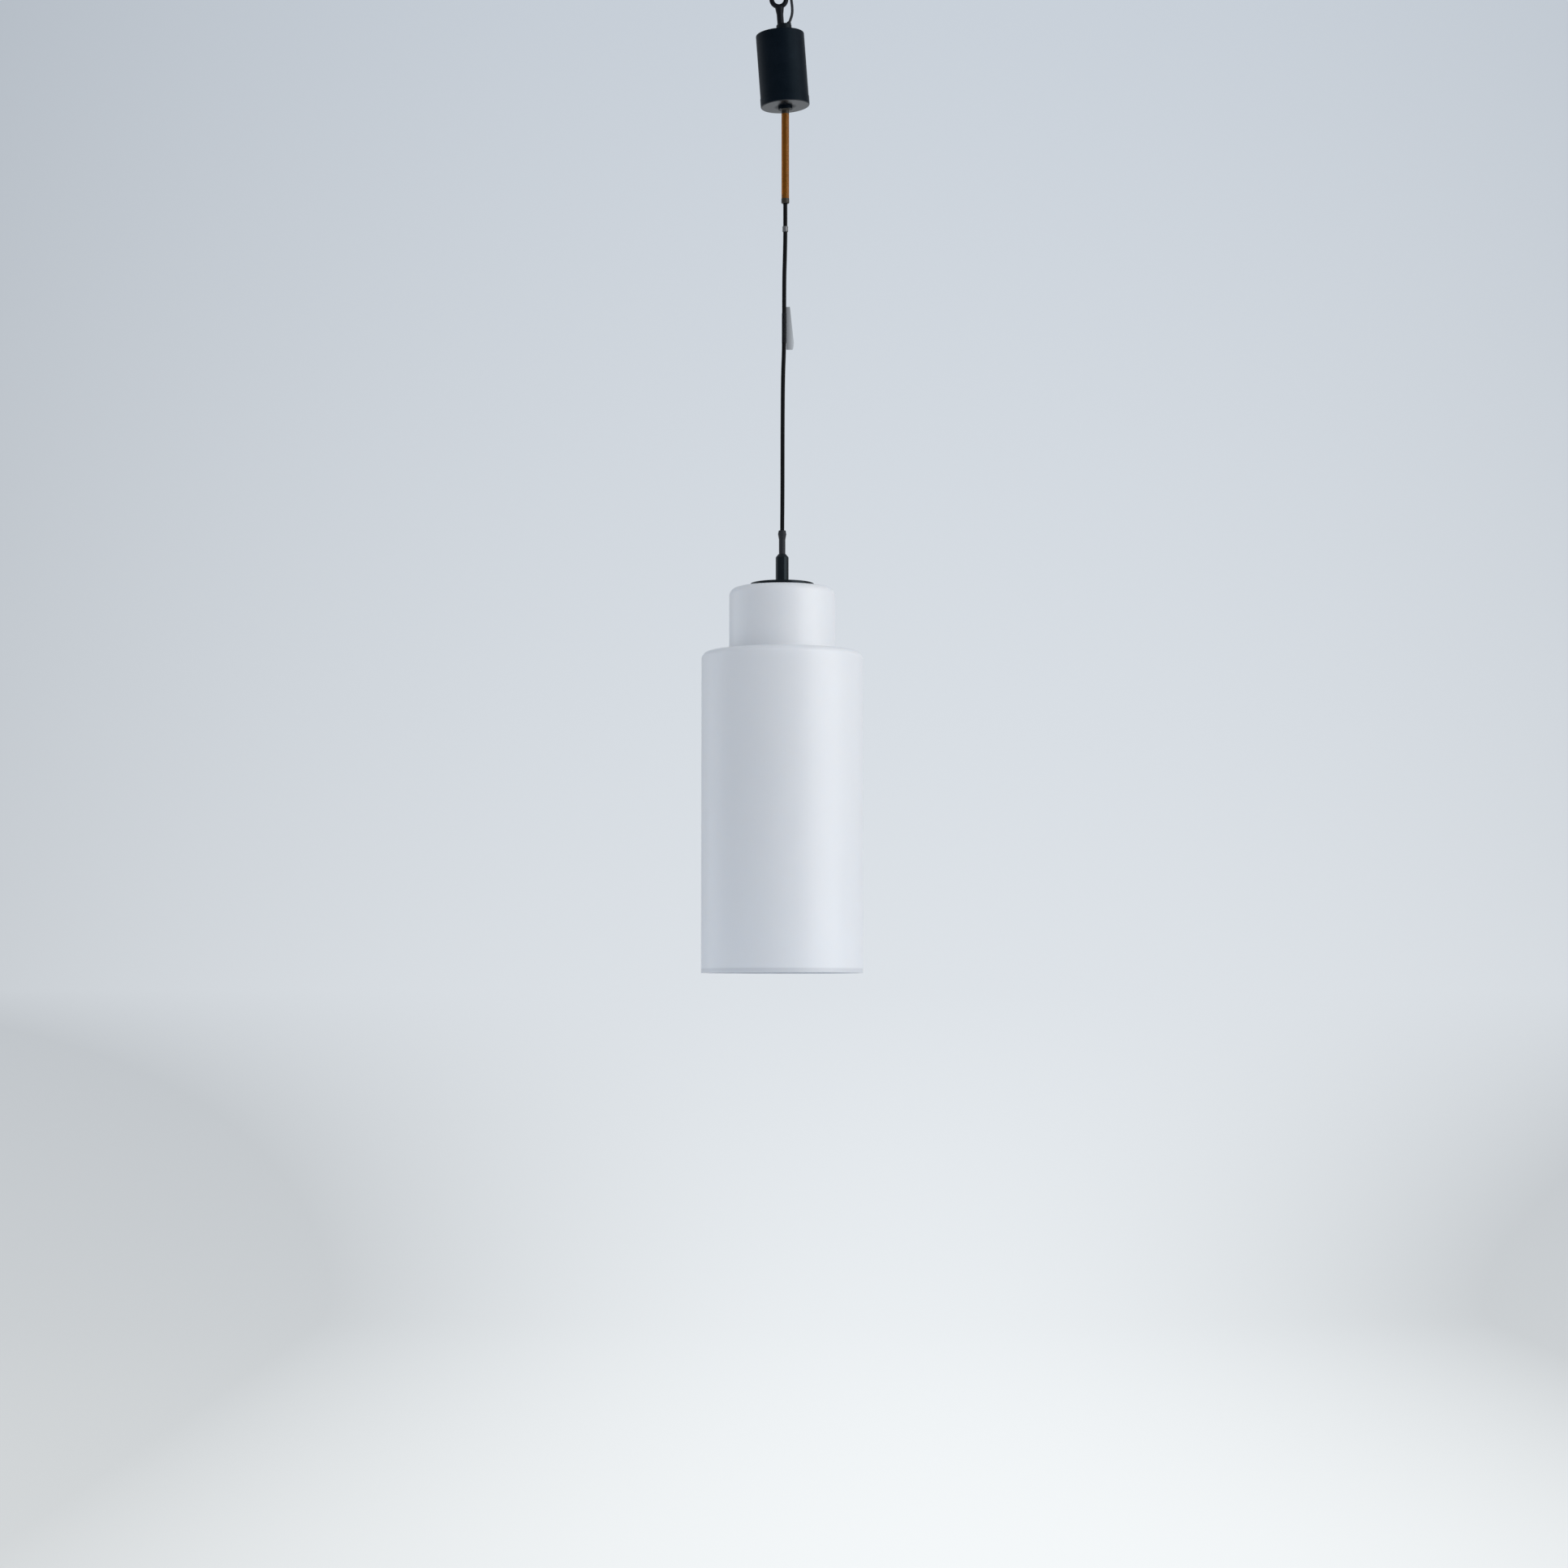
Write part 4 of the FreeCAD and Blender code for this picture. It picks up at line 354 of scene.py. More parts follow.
@dataclass(frozen=True)
class Opal(Finish):
    """Blown opal glass: milky, faintly wavy, under a clear skin."""

    glow: float = 0.0
    foot: float = 0.0
    rim: float = 0.0
    rim_shade_tone: float = 0.84
    rim_start: float = 0.7
    detail: float = 1.0
    stretch: Point = (1.0, 1.0, 0.45)
    ripple_scale: float = 9.0
    ripple_share: float = 0.03
    scatter: Point = (0.9, 1.0, 1.1)
    scatter_depth: float = 0.006

    def shade(self, surface: Surface) -> Value:
        """Returns the milky white, greyer in a band at the foot: painted shade of the rim that turns under,
        and partly the ground foot's own grey.
        """
        white = super().shade(surface)
        if not self.rim:
            return white
        # painted shade: the lowest band of the glass is greyed as if its turned-under rim fell in shade,
        # partly also as a ground foot's grey
        ground = surface.axes()[2].ramped(self.foot + self.rim, self.foot + self.rim_start * self.rim)
        return surface.blend(ground, white, tuple(self.rim_shade_tone * part for part in self.colour))

    def pattern(self, surface: Surface) -> Value:
        """Returns the slow waves of blown glass, longer round the shade than along it."""
        ripple = surface.noise(self.grain * self.ripple_scale, self.detail)
        return super().pattern(surface) + ripple * self.ripple_share

    def extras(self, surface: Surface) -> dict:
        """Returns the milky body and the clear skin."""
        return {
            "Subsurface Weight": self.glow,
            "Subsurface Radius": self.scatter,
            "Subsurface Scale": self.scatter_depth,
            "IOR": GLASS_IOR,
            "Coat IOR": GLASS_IOR,
        }


@dataclass(frozen=True)
class Clear(Finish):
    """Tinted clear plastic."""

    clarity: float = 0.9

    def extras(self, surface: Surface) -> dict:
        """Returns the share of light that passes and how it bends."""
        return {"Transmission Weight": self.clarity, "IOR": ACRYLIC_IOR}


@dataclass(frozen=True)
class Film(Finish):
    """Thin see-through film with small creases, denser near the cord that it is folded round."""

    opacity: float = 0.8
    faded: float = 0.3
    reach: float = 0.012
    detail: float = 2.0
    stretch: Point = (1.0, 1.0, 0.3)

    def extras(self, surface: Surface) -> dict:
        """Returns the film's opacity, which fades away from the cord."""
        sideways = surface.axes()[0] - (LAMP_X + FLAG_OFFSET)
        out = sideways.ramped(CORD_RADIUS, CORD_RADIUS + self.reach)
        return {"Alpha": self.opacity + out * (self.faded - self.opacity)}


@dataclass(frozen=True)
class Underside(Finish):
    """Moulded plastic like the case's, but polished on the face that points down along the reel."""

    edge: float = 0.0006
    polish: float = 0.6
    worn: float = 0.1
    inner: float = 0.010
    outer: float = 0.031
    fade: float = 0.005

    def extras(self, surface: Surface) -> dict:
        """Returns a clear skin below the reel, worn off at the middle and the rim, and none on the sides."""
        across, depth, height = surface.axes()
        along = (across - NOZZLE.x) * -math.sin(REEL_TILT) + (height - NOZZLE.z) * math.cos(REEL_TILT)
        reach = ((across - NOZZLE.x) ** 2.0 + depth * depth) ** 0.5
        ring = reach.ramped(self.inner, self.inner + self.fade)
        ring = ring * reach.ramped(self.outer + self.fade, self.outer)
        below = along.ramped(2 * self.edge, self.edge)
        return {"Coat Weight": below * (ring * (1 - self.worn) + self.worn) * self.polish}


@dataclass(frozen=True)
class Felt(Finish):
    """Pressed felt, its fibres catching light at the edges."""

    sheen: float = 0.6
    sheen_roughness: float = 0.5

    def extras(self, surface: Surface) -> dict:
        """Returns the fibres' sheen."""
        return {"Sheen Weight": self.sheen, "Sheen Roughness": self.sheen_roughness}


COOL: Colour = (0.6, 0.85, 1.0)
BLUE_BLACK: Colour = (0.0006, 0.0032, 0.0072)


class Look(Enum):
    """The finishes of the pendant."""

    CASE = Finish("case_black", BLUE_BLACK, 0.42, specular=0.075, specular_tint=COOL, mottle=0.3,
                  grain=2600.0, depth=0.00003, dust=0.03)
    COVER = Underside("cover_black", BLUE_BLACK, 0.42, specular=0.075, specular_tint=COOL,
                      coat_roughness=0.3, mottle=0.25, grain=2600.0, depth=0.00002, dust=0.03)
    PAINT = Finish("satin_black_paint", (0.0018, 0.003, 0.005), 0.4, specular=0.12, specular_tint=COOL,
                   coat=0.04, coat_roughness=0.25, mottle=0.25, grain=1500.0, depth=0.00002, dust=0.03)
    GLOSS = DrawnMetal("gloss_black_metal", (0.0022, 0.003, 0.0046), 0.24, 0.0, specular=0.2,
                       specular_tint=COOL, coat=0.06, coat_roughness=0.12, mottle=0.2, gloss_spread=0.08,
                       grain=500.0, depth=0.000006)
    OXIDE = Finish("black_oxide_steel", (0.006, 0.0075, 0.011), 0.42, 0.6, specular=0.2, mottle=0.4,
                   mottle_scale=210.0, gloss_spread=0.2, grain=1300.0, depth=0.00005)
    ZINC = DrawnMetal("zinc_steel", (0.50, 0.51, 0.52), 0.34, mottle=0.16, mottle_scale=160.0,
                      gloss_spread=0.16, grain=700.0)
    SPRING = DrawnMetal("blued_spring_steel", (0.10, 0.12, 0.18), 0.28, mottle=0.3, gloss_spread=0.12)
    BRASS = DrawnMetal("turned_brass", (0.62, 0.44, 0.18), 0.3, mottle=0.14, grain=800.0)
    CRIMP = DrawnMetal("crimped_zinc", (0.155, 0.16, 0.165), 0.46, 0.85, mottle=0.2, mottle_scale=300.0)
    TIN = DrawnMetal("bulb_cap_metal", (0.66, 0.66, 0.65), 0.28)
    AMBER = Clear("clear_amber_tube", (0.42, 0.14, 0.002), 0.14, specular=0.12,
                  specular_tint=(0.9, 0.6, 0.3), mottle=0.15, mottle_scale=40.0, gloss_spread=0.06,
                  depth=0.00001, clarity=0.75)
    DARK = Finish("dark_brown_plastic", (0.022, 0.017, 0.010), 0.3, specular=0.3, mottle=0.2, depth=0.00001)
    SHEATH = Sheath("black_cord_sheath", (0.0008, 0.0012, 0.0022), 0.48, specular=0.09, mottle=0.3,
                    mottle_scale=90.0, gloss_spread=0.14, grain=1800.0, depth=0.00003)
    SUPPLY = Sheath("thin_flex_sheath", (0.018, 0.021, 0.027), 0.45, specular=0.3, mottle=0.25, grain=1800.0,
                    depth=0.00002)
    RUBBER = Finish("moulded_rubber", (0.011, 0.013, 0.018), 0.55, specular=0.3, mottle=0.2, grain=1400.0,
                    depth=0.00004, dust=0.08)
    FLAG = Film("smoke_grey_film", (0.014, 0.016, 0.019), 0.5, specular=0.12, mottle=0.2, grain=160.0,
                depth=0.00008, opacity=0.53, faded=0.06)
    # the band at the foot (rim) is painted shade of the turned-under rim, partly a ground foot's grey
    OPAL = Opal("blown_opal_glass", (0.80, 0.825, 0.865), 0.42, coat=0.25, coat_roughness=0.3, mottle=0.012,
                mottle_scale=9.0, gloss_spread=0.05, grain=14.0, depth=0.0012, glow=0.6,
                foot=GLASS_TOP - 0.4765, rim=0.0066)
    BULB = Opal("opal_bulb", (0.83, 0.83, 0.81), 0.2, coat=0.6, mottle=0.01, mottle_scale=30.0, grain=50.0,
                depth=0.0002, glow=0.4)
    NYLON = Finish("natural_nylon", (0.60, 0.59, 0.55), 0.45, mottle=0.06, grain=1200.0, depth=0.00003)
    BOARD = Finish("laminated_board", (0.20, 0.10, 0.045), 0.5, mottle=0.3, mottle_scale=400.0)
    FELT = Felt("pressed_felt", (0.055, 0.057, 0.062), 0.95, mottle=0.35, mottle_scale=700.0, grain=2200.0,
                depth=0.0004)
    BAKELITE = Finish("holder_black", (0.018, 0.015, 0.013), 0.22, coat=0.3, mottle=0.25, mottle_scale=120.0,
                      grain=900.0, depth=0.00001)
    CERAMIC = Finish("white_ceramic", (0.74, 0.72, 0.68), 0.6, mottle=0.05, grain=1600.0, depth=0.00006)


def dress(finish: Look, *nodes: str) -> None:
    """Gives carried-over CAD nodes a finish.

    Args:
        finish: The look to give.
        nodes: Names of the nodes.
    """
    material = finish.value.build()
    for name in nodes:
        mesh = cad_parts[name].data
        if not mesh.materials:
            mesh.materials.append(material)
        for i in range(len(mesh.materials)):
            mesh.materials[i] = material
        log.info("dressed %s as %s", name, material.name)


# ---------------------------------------------------------------- geometry nodes


class Recipe(Graph):
    """A geometry node tree with named inputs, run once on an object and then baked into a mesh."""

    def __init__(self, name: str) -> None:
        group = bpy.data.node_groups.new(name, "GeometryNodeTree")
        super().__init__(group)
        self.sockets: dict[str, str] = {}
        self.values: dict[str, object] = {}
        group.interface.new_socket("Geometry", in_out="OUTPUT", socket_type="NodeSocketGeometry")
        start = group.interface.new_socket("Geometry", in_out="INPUT", socket_type="NodeSocketGeometry")
        self.source = group.nodes.new("NodeGroupInput")
        self.start = Value(self, Graph.find(self.source.outputs, start.identifier))

    def setting(self, name: str, kind: str, value: object) -> Value:
        """Adds a named input of the tree and gives its value.

        Args:
            name: What it sets.
            kind: Float, Int, Object or Material.
            value: The value it has for this piece.

        Returns:
            The input inside the tree.
        """
        item = self.tree.interface.new_socket(name, in_out="INPUT", socket_type=f"NodeSocket{kind}")
        self.sockets[name] = item.identifier
        self.values[name] = value
        return Value(self, Graph.find(self.source.outputs, item.identifier))

    def bake(self, geometry: Value, mesh: bpy.types.Mesh, name: str, look: Look) -> bpy.types.Object:
        """Ends the tree, runs it on mesh and returns a plain mesh object.

        Args:
            geometry: What the tree makes.
            mesh: The mesh it starts from.
            name: The new object's name.
            look: The finish.

        Returns:
            The object, with no modifier left.
        """
        material = self.setting("Material", "Material", look.value.build())
        solid = self.node("GeometryNodeRealizeInstances", inputs={"Geometry": geometry})
        dressed = self.node("GeometryNodeSetMaterial", inputs={"Geometry": solid, "Material": material})
        self.end("NodeGroupOutput", dressed)
        piece = bpy.data.objects.new(name, mesh)
        bpy.context.collection.objects.link(piece)
        modifier = piece.modifiers.new("recipe", "NODES")
        modifier.node_group = self.tree
        for setting, identifier in self.sockets.items():
            modifier[identifier] = self.values[setting]
        piece.update_tag()
        bpy.context.view_layer.update()
        evaluated = piece.evaluated_get(bpy.context.evaluated_depsgraph_get())
        baked = bpy.data.meshes.new_from_object(evaluated)
        piece.modifiers.clear()
        piece.data = baked
        baked.name = name
        return piece


def line_mesh(points: Sequence[Vector]) -> bpy.types.Mesh:
    """Returns a mesh of edges through points."""
    mesh = bpy.data.meshes.new("path")
    edges = [(i, i + 1) for i in range(len(points) - 1)]
    mesh.from_pydata([tuple(p) for p in points], edges, [])
    return mesh


def smooth_path(points: Iterable[Point], steps: int = 10) -> list[Vector]:
    """Reads points along a smooth line.

    Args:
        points: The route's points, in metres.
        steps: Samples for each of them.

    Returns:
        Points of the NURBS line that has the route's points as its control points.
    """
    curve = bpy.data.curves.new("route", "CURVE")
    curve.dimensions = "3D"
    spline = curve.splines.new("NURBS")
    places = [Vector(p) for p in points]
    spline.points.add(len(places) - 1)
    for control, place in zip(spline.points, places):
        control.co = (*place, 1.0)
    spline.order_u = 3
    spline.use_endpoint_u = True
    spline.resolution_u = steps
    holder = bpy.data.objects.new("route", curve)
    bpy.context.collection.objects.link(holder)
    bpy.context.view_layer.update()
    evaluated = holder.evaluated_get(bpy.context.evaluated_depsgraph_get())
    read = [v.co.copy() for v in bpy.data.meshes.new_from_object(evaluated).vertices]
    bpy.data.objects.remove(holder)
    return read


def tube(name: str, points: Sequence[Vector], radius: float, look: Look,
         sides: int = 24) -> bpy.types.Object:
    """Sweeps a round section along points, with closed ends.

    Args:
        name: The new object's name.
        points: The line to follow.
        radius: The section's radius in metres.
        look: The finish.
        sides: How many sides the section has.

    Returns:
        The tube as a mesh object.
    """
    recipe = Recipe("tube_" + name)
    size = recipe.setting("Radius", "Float", radius)
    count = recipe.setting("Sides", "Int", sides)
    line = recipe.node("GeometryNodeMeshToCurve", inputs={"Mesh": recipe.start})
    section = recipe.node("GeometryNodeCurvePrimitiveCircle", inputs={"Resolution": count, "Radius": size})
    skin = recipe.node("GeometryNodeCurveToMesh", inputs={
        "Curve": line, "Profile Curve": section, "Fill Caps": True,
    })
    smooth = recipe.node("GeometryNodeSetShadeSmooth", inputs={"Geometry": skin})
    return recipe.bake(smooth, line_mesh(points), name, look)


def corner(middle: Flat, radius: float, start: float, end: float, steps: int = 9) -> list[Flat]:
    """Returns the points of a rounded corner in a section.

    Args:
        middle: The corner's centre, as radius and height.
        radius: Its own radius.
        start: Where it starts, in degrees from outwards.
        end: Where it ends.
        steps: How many points it has.

    Returns:
        (radius, height) pairs from start to end.
    """
    angles = [math.radians(start + (end - start) * i / (steps - 1)) for i in range(steps)]
    return [(middle[0] + radius * math.cos(a), middle[1] + radius * math.sin(a)) for a in angles]


def tangent_arc(start: Vector, along: Vector, end: Vector, steps: int) -> list[Flat]:
    """Returns points of the arc that leaves start in one direction and ends at end.

    Args:
        start: Where it starts, as radius and height.
        along: The direction it leaves in, of length 1.
        end: Where it ends.
        steps: How many points it has.

    Returns:
        (radius, height) pairs from start to end.
    """
    aside = Vector((along.y, -along.x))
    chord = end - start
    radius = chord.length_squared / (2 * chord.dot(aside))
    middle = start + aside * radius
    sweep = 2 * math.atan2(chord.dot(aside), chord.dot(along))
    spoke = start - middle
    turns = [Matrix.Rotation(-sweep * i / (steps - 1), 2) for i in range(steps)]
    return [tuple(middle + turn @ spoke) for turn in turns]


def ring_at(shape: bmesh.types.BMesh, reach: float, height: float, steps: int,
            middle: float = 0.0) -> list[bmesh.types.BMVert]:
    """Adds a level ring of points.

    Args:
        shape: Where the points go.
        reach: The ring's radius.
        height: Its height.
        steps: How many points it has.
        middle: Where its centre lies sideways.

    Returns:
        The points in order.
    """
    angles = [TURN * i / steps for i in range(steps)]
    return [shape.verts.new((middle + reach * math.cos(a), reach * math.sin(a), height)) for a in angles]


def turned(name: str, outline: Sequence[Flat], at: Vector, look: Look, steps: int = 96,
           closed: bool = False) -> bpy.types.Object:
    """Turns an outline about a vertical axis.

    Args:
        name: The new object's name.
        outline: (radius, height) pairs in metres; a radius of 0 closes on the axis.
        at: Where the outline's origin lies.
        look: The finish.
        steps: Sides of the turned piece.
        closed: Whether the outline's end joins its start, as on a ring or a wall.

    Returns:
        The piece as a mesh object with smooth faces.
    """
    shape = bmesh.new()
    rings = []
    for radius, height in outline:
        sides = 1 if radius < ON_AXIS else steps
        rings.append(ring_at(shape, radius, height, sides))
    bridge(shape, rings + rings[:1] if closed else rings)
    bmesh.ops.translate(shape, verts=shape.verts, vec=at)
    return piece_from(name, shape, look)


def bridge(shape: bmesh.types.BMesh, rings: Sequence[Sequence[bmesh.types.BMVert]]) -> None:
    """Joins each ring of points to the next with faces; a ring of one point is a pole."""
    steps = max(len(ring) for ring in rings)
    for low, high in zip(rings, rings[1:]):
        for i in range(steps):
            j = i + 1
            sides = [low[i % len(low)], low[j % len(low)], high[j % len(high)], high[i % len(high)]]
            distinct = list(dict.fromkeys(sides))
            if len(distinct) > 2:
                shape.faces.new(distinct)
    bmesh.ops.recalc_face_normals(shape, faces=shape.faces)


def weave(shape: bmesh.types.BMesh, rows: Sequence[Sequence[bmesh.types.BMVert]],
          closed: bool = False) -> None:
    """Joins each row of points to the next with faces.

    Args:
        shape: Where the faces go.
        rows: Rows with the same number of points.
        closed: Whether each row goes on round to its start.
    """
    for low, high in zip(rows, rows[1:]):
        for i in range(len(low) if closed else len(low) - 1):
            j = (i + 1) % len(low)
            shape.faces.new((low[i], low[j], high[j], high[i]))


def piece_from(name: str, shape: bmesh.types.BMesh, look: Look, smooth: bool = True) -> bpy.types.Object:
    """Closes a bmesh into a named object with a finish."""
    mesh = bpy.data.meshes.new(name)
    for face in shape.faces:
        face.smooth = smooth
    shape.to_mesh(mesh)
    shape.free()
    if smooth:
        mesh.set_sharp_from_angle(angle=SHARP)
    mesh.materials.append(look.value.build())
    piece = bpy.data.objects.new(name, mesh)
    bpy.context.collection.objects.link(piece)
    log.info("made %s", name)
    return piece


class Recess(Enum):
    """What the driver goes into on a screw."""

    CROSS = "cross"
    SLOT = "slot"
    HEX = "hexagon"


@dataclass(frozen=True)
class Screw:
    """A screw with its driver recess and thread, made once and then placed by a geometry node tree."""

    head: float
    height: float
    stem: float
    length: float
    recess: Recess
    steps: int = 36
    face_rings: int = 15
    slot_share: float = 0.16
    reach_share: float = 0.62
    depth_share: float = 0.6
    hexagon_share: float = 0.55
    pitch_share: float = 0.35
    thread_share: float = 0.12
    edge: tuple[Flat, ...] = ((0.99, 0.04), (1.0, 0.12))

    def depth_at(self, x: float, y: float) -> float:
        """Returns how deep the recess is at a point of the head's face.

        Args:
            x: Sideways from the screw's axis.
            y: The other way.

        Returns:
            The depth in metres, and 0 beside the recess.
        """
        half, reach = self.slot_share * self.head, self.reach_share * self.head
        depth = self.depth_share * self.height
        if self.recess is Recess.SLOT:
            return depth if abs(y) < half else 0.0
        if self.recess is Recess.CROSS:
            narrow, wide = sorted((abs(x), abs(y)))
            sloped = depth * (1 - self.depth_share * wide / reach)
            return sloped if narrow < half and wide < reach else 0.0
        sides = [i * math.pi / 3 for i in range(3)]
        across = max(abs(x * math.cos(a) + y * math.sin(a)) for a in sides)
        return depth if across < self.hexagon_share * self.head else 0.0

    def form(self) -> bpy.types.Object:
        """Makes the screw pointing up, its head's underside at the origin."""
        shape = bmesh.new()
        rings = [[shape.verts.new((0.0, 0.0, self.height - self.depth_at(0.0, 0.0)))]]
        for i in range(1, self.face_rings):
            face = ring_at(shape, self.head * i / self.face_rings, self.height, self.steps)
            for point in face:
                point.co.z -= self.depth_at(point.co.x, point.co.y)
            rings.append(face)
        outline = [(self.head * reach, self.height - fall * self.head) for reach, fall in self.edge]
        outline.append((self.head, 0.0))
        pitch = self.pitch_share * self.stem
        for i in range(2 * int(self.length / pitch)):
            inset = 0.0 if i % 2 else self.thread_share * self.stem
            outline.append((self.stem - inset, -i * pitch / 2))
        rings += [ring_at(shape, reach, height, self.steps) for reach, height in outline]
        rings.append([shape.verts.new((0.0, 0.0, -self.length))])
        bridge(shape, rings)
        mesh = bpy.data.meshes.new("screw_form")
        shape.to_mesh(mesh)
        shape.free()
        mesh.set_sharp_from_angle(angle=SCREW_SHARP)
        return bpy.data.objects.new("screw_form", mesh)

    def place(self, name: str, places: Sequence[Vector], facing: Point, look: Look,
              seed: int) -> bpy.types.Object:
        """Sets screws at places, each turned its own way as hand-driven screws are.

        Args:
            name: The new object's name.
            places: Where the undersides of the heads lie.
            facing: The turn, as Euler angles, from upright to how they face.
            look: The finish.
            seed: Seed of the turns about their own axes.

        Returns:
            All of them as one mesh object.
        """
        form = self.form()
        recipe = Recipe("screws_" + name)
        screw = recipe.setting("Screw", "Object", form)
        spread = recipe.setting("Turn", "Float", TURN)
        number = recipe.setting("Seed", "Int", seed)
        one = recipe.node("GeometryNodeObjectInfo", inputs={"Object": screw}, output="Geometry")
        limits = {"Max": spread, "Seed": number}
        turn = recipe.node("FunctionNodeRandomValue", {"data_type": "FLOAT"}, limits)
        spin = recipe.node("ShaderNodeCombineXYZ", inputs={"Z": turn})
        spots = recipe.node("GeometryNodeInstanceOnPoints", inputs={
            "Points": recipe.start, "Instance": one, "Rotation": facing,
        })
        driven = recipe.node("GeometryNodeRotateInstances", inputs={"Instances": spots, "Rotation": spin})
        piece = recipe.bake(driven, line_mesh(places), name, look)
        bpy.data.objects.remove(form)
        return piece


# ---------------------------------------------------------------- sub-assemblies


def stand_in(piece: bpy.types.Object, body: str, node: str) -> bpy.types.Object:
    """Puts a piece in the place of a CAD node.

    Args:
        piece: The piece.
        body: The body that it rides on.
        node: The node that it stands for.

    Returns:
        The piece.
    """
    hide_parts(node)
    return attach(piece, body)


GRUB_RADIUS = 0.0015
GRUB_SOCKET = 0.0012


def grub_screw(name: str, node: str, body: str, seed: int) -> bpy.types.Object:
    """Makes a headless screw with a hexagon socket that faces backwards, where its CAD node lies.

    Args:
        name: The new object's name.
        node: The CAD node that it stands for.
        body: The body that it rides on.
        seed: Seed of its turn.

    Returns:
        The screw.
    """
    low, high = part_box(node)
    middle = [(a + b) / 2 for a, b in zip(low, high)]
    head = high[1] - GRUB_SOCKET
    screw = Screw(GRUB_RADIUS, GRUB_SOCKET, GRUB_RADIUS, head - low[1], Recess.HEX)
    place = Vector((middle[0], head, middle[2]))
    piece = screw.place(name, [place], (-math.pi / 2, 0.0, 0.0), Look.OXIDE, seed)
    return stand_in(piece, body, node)


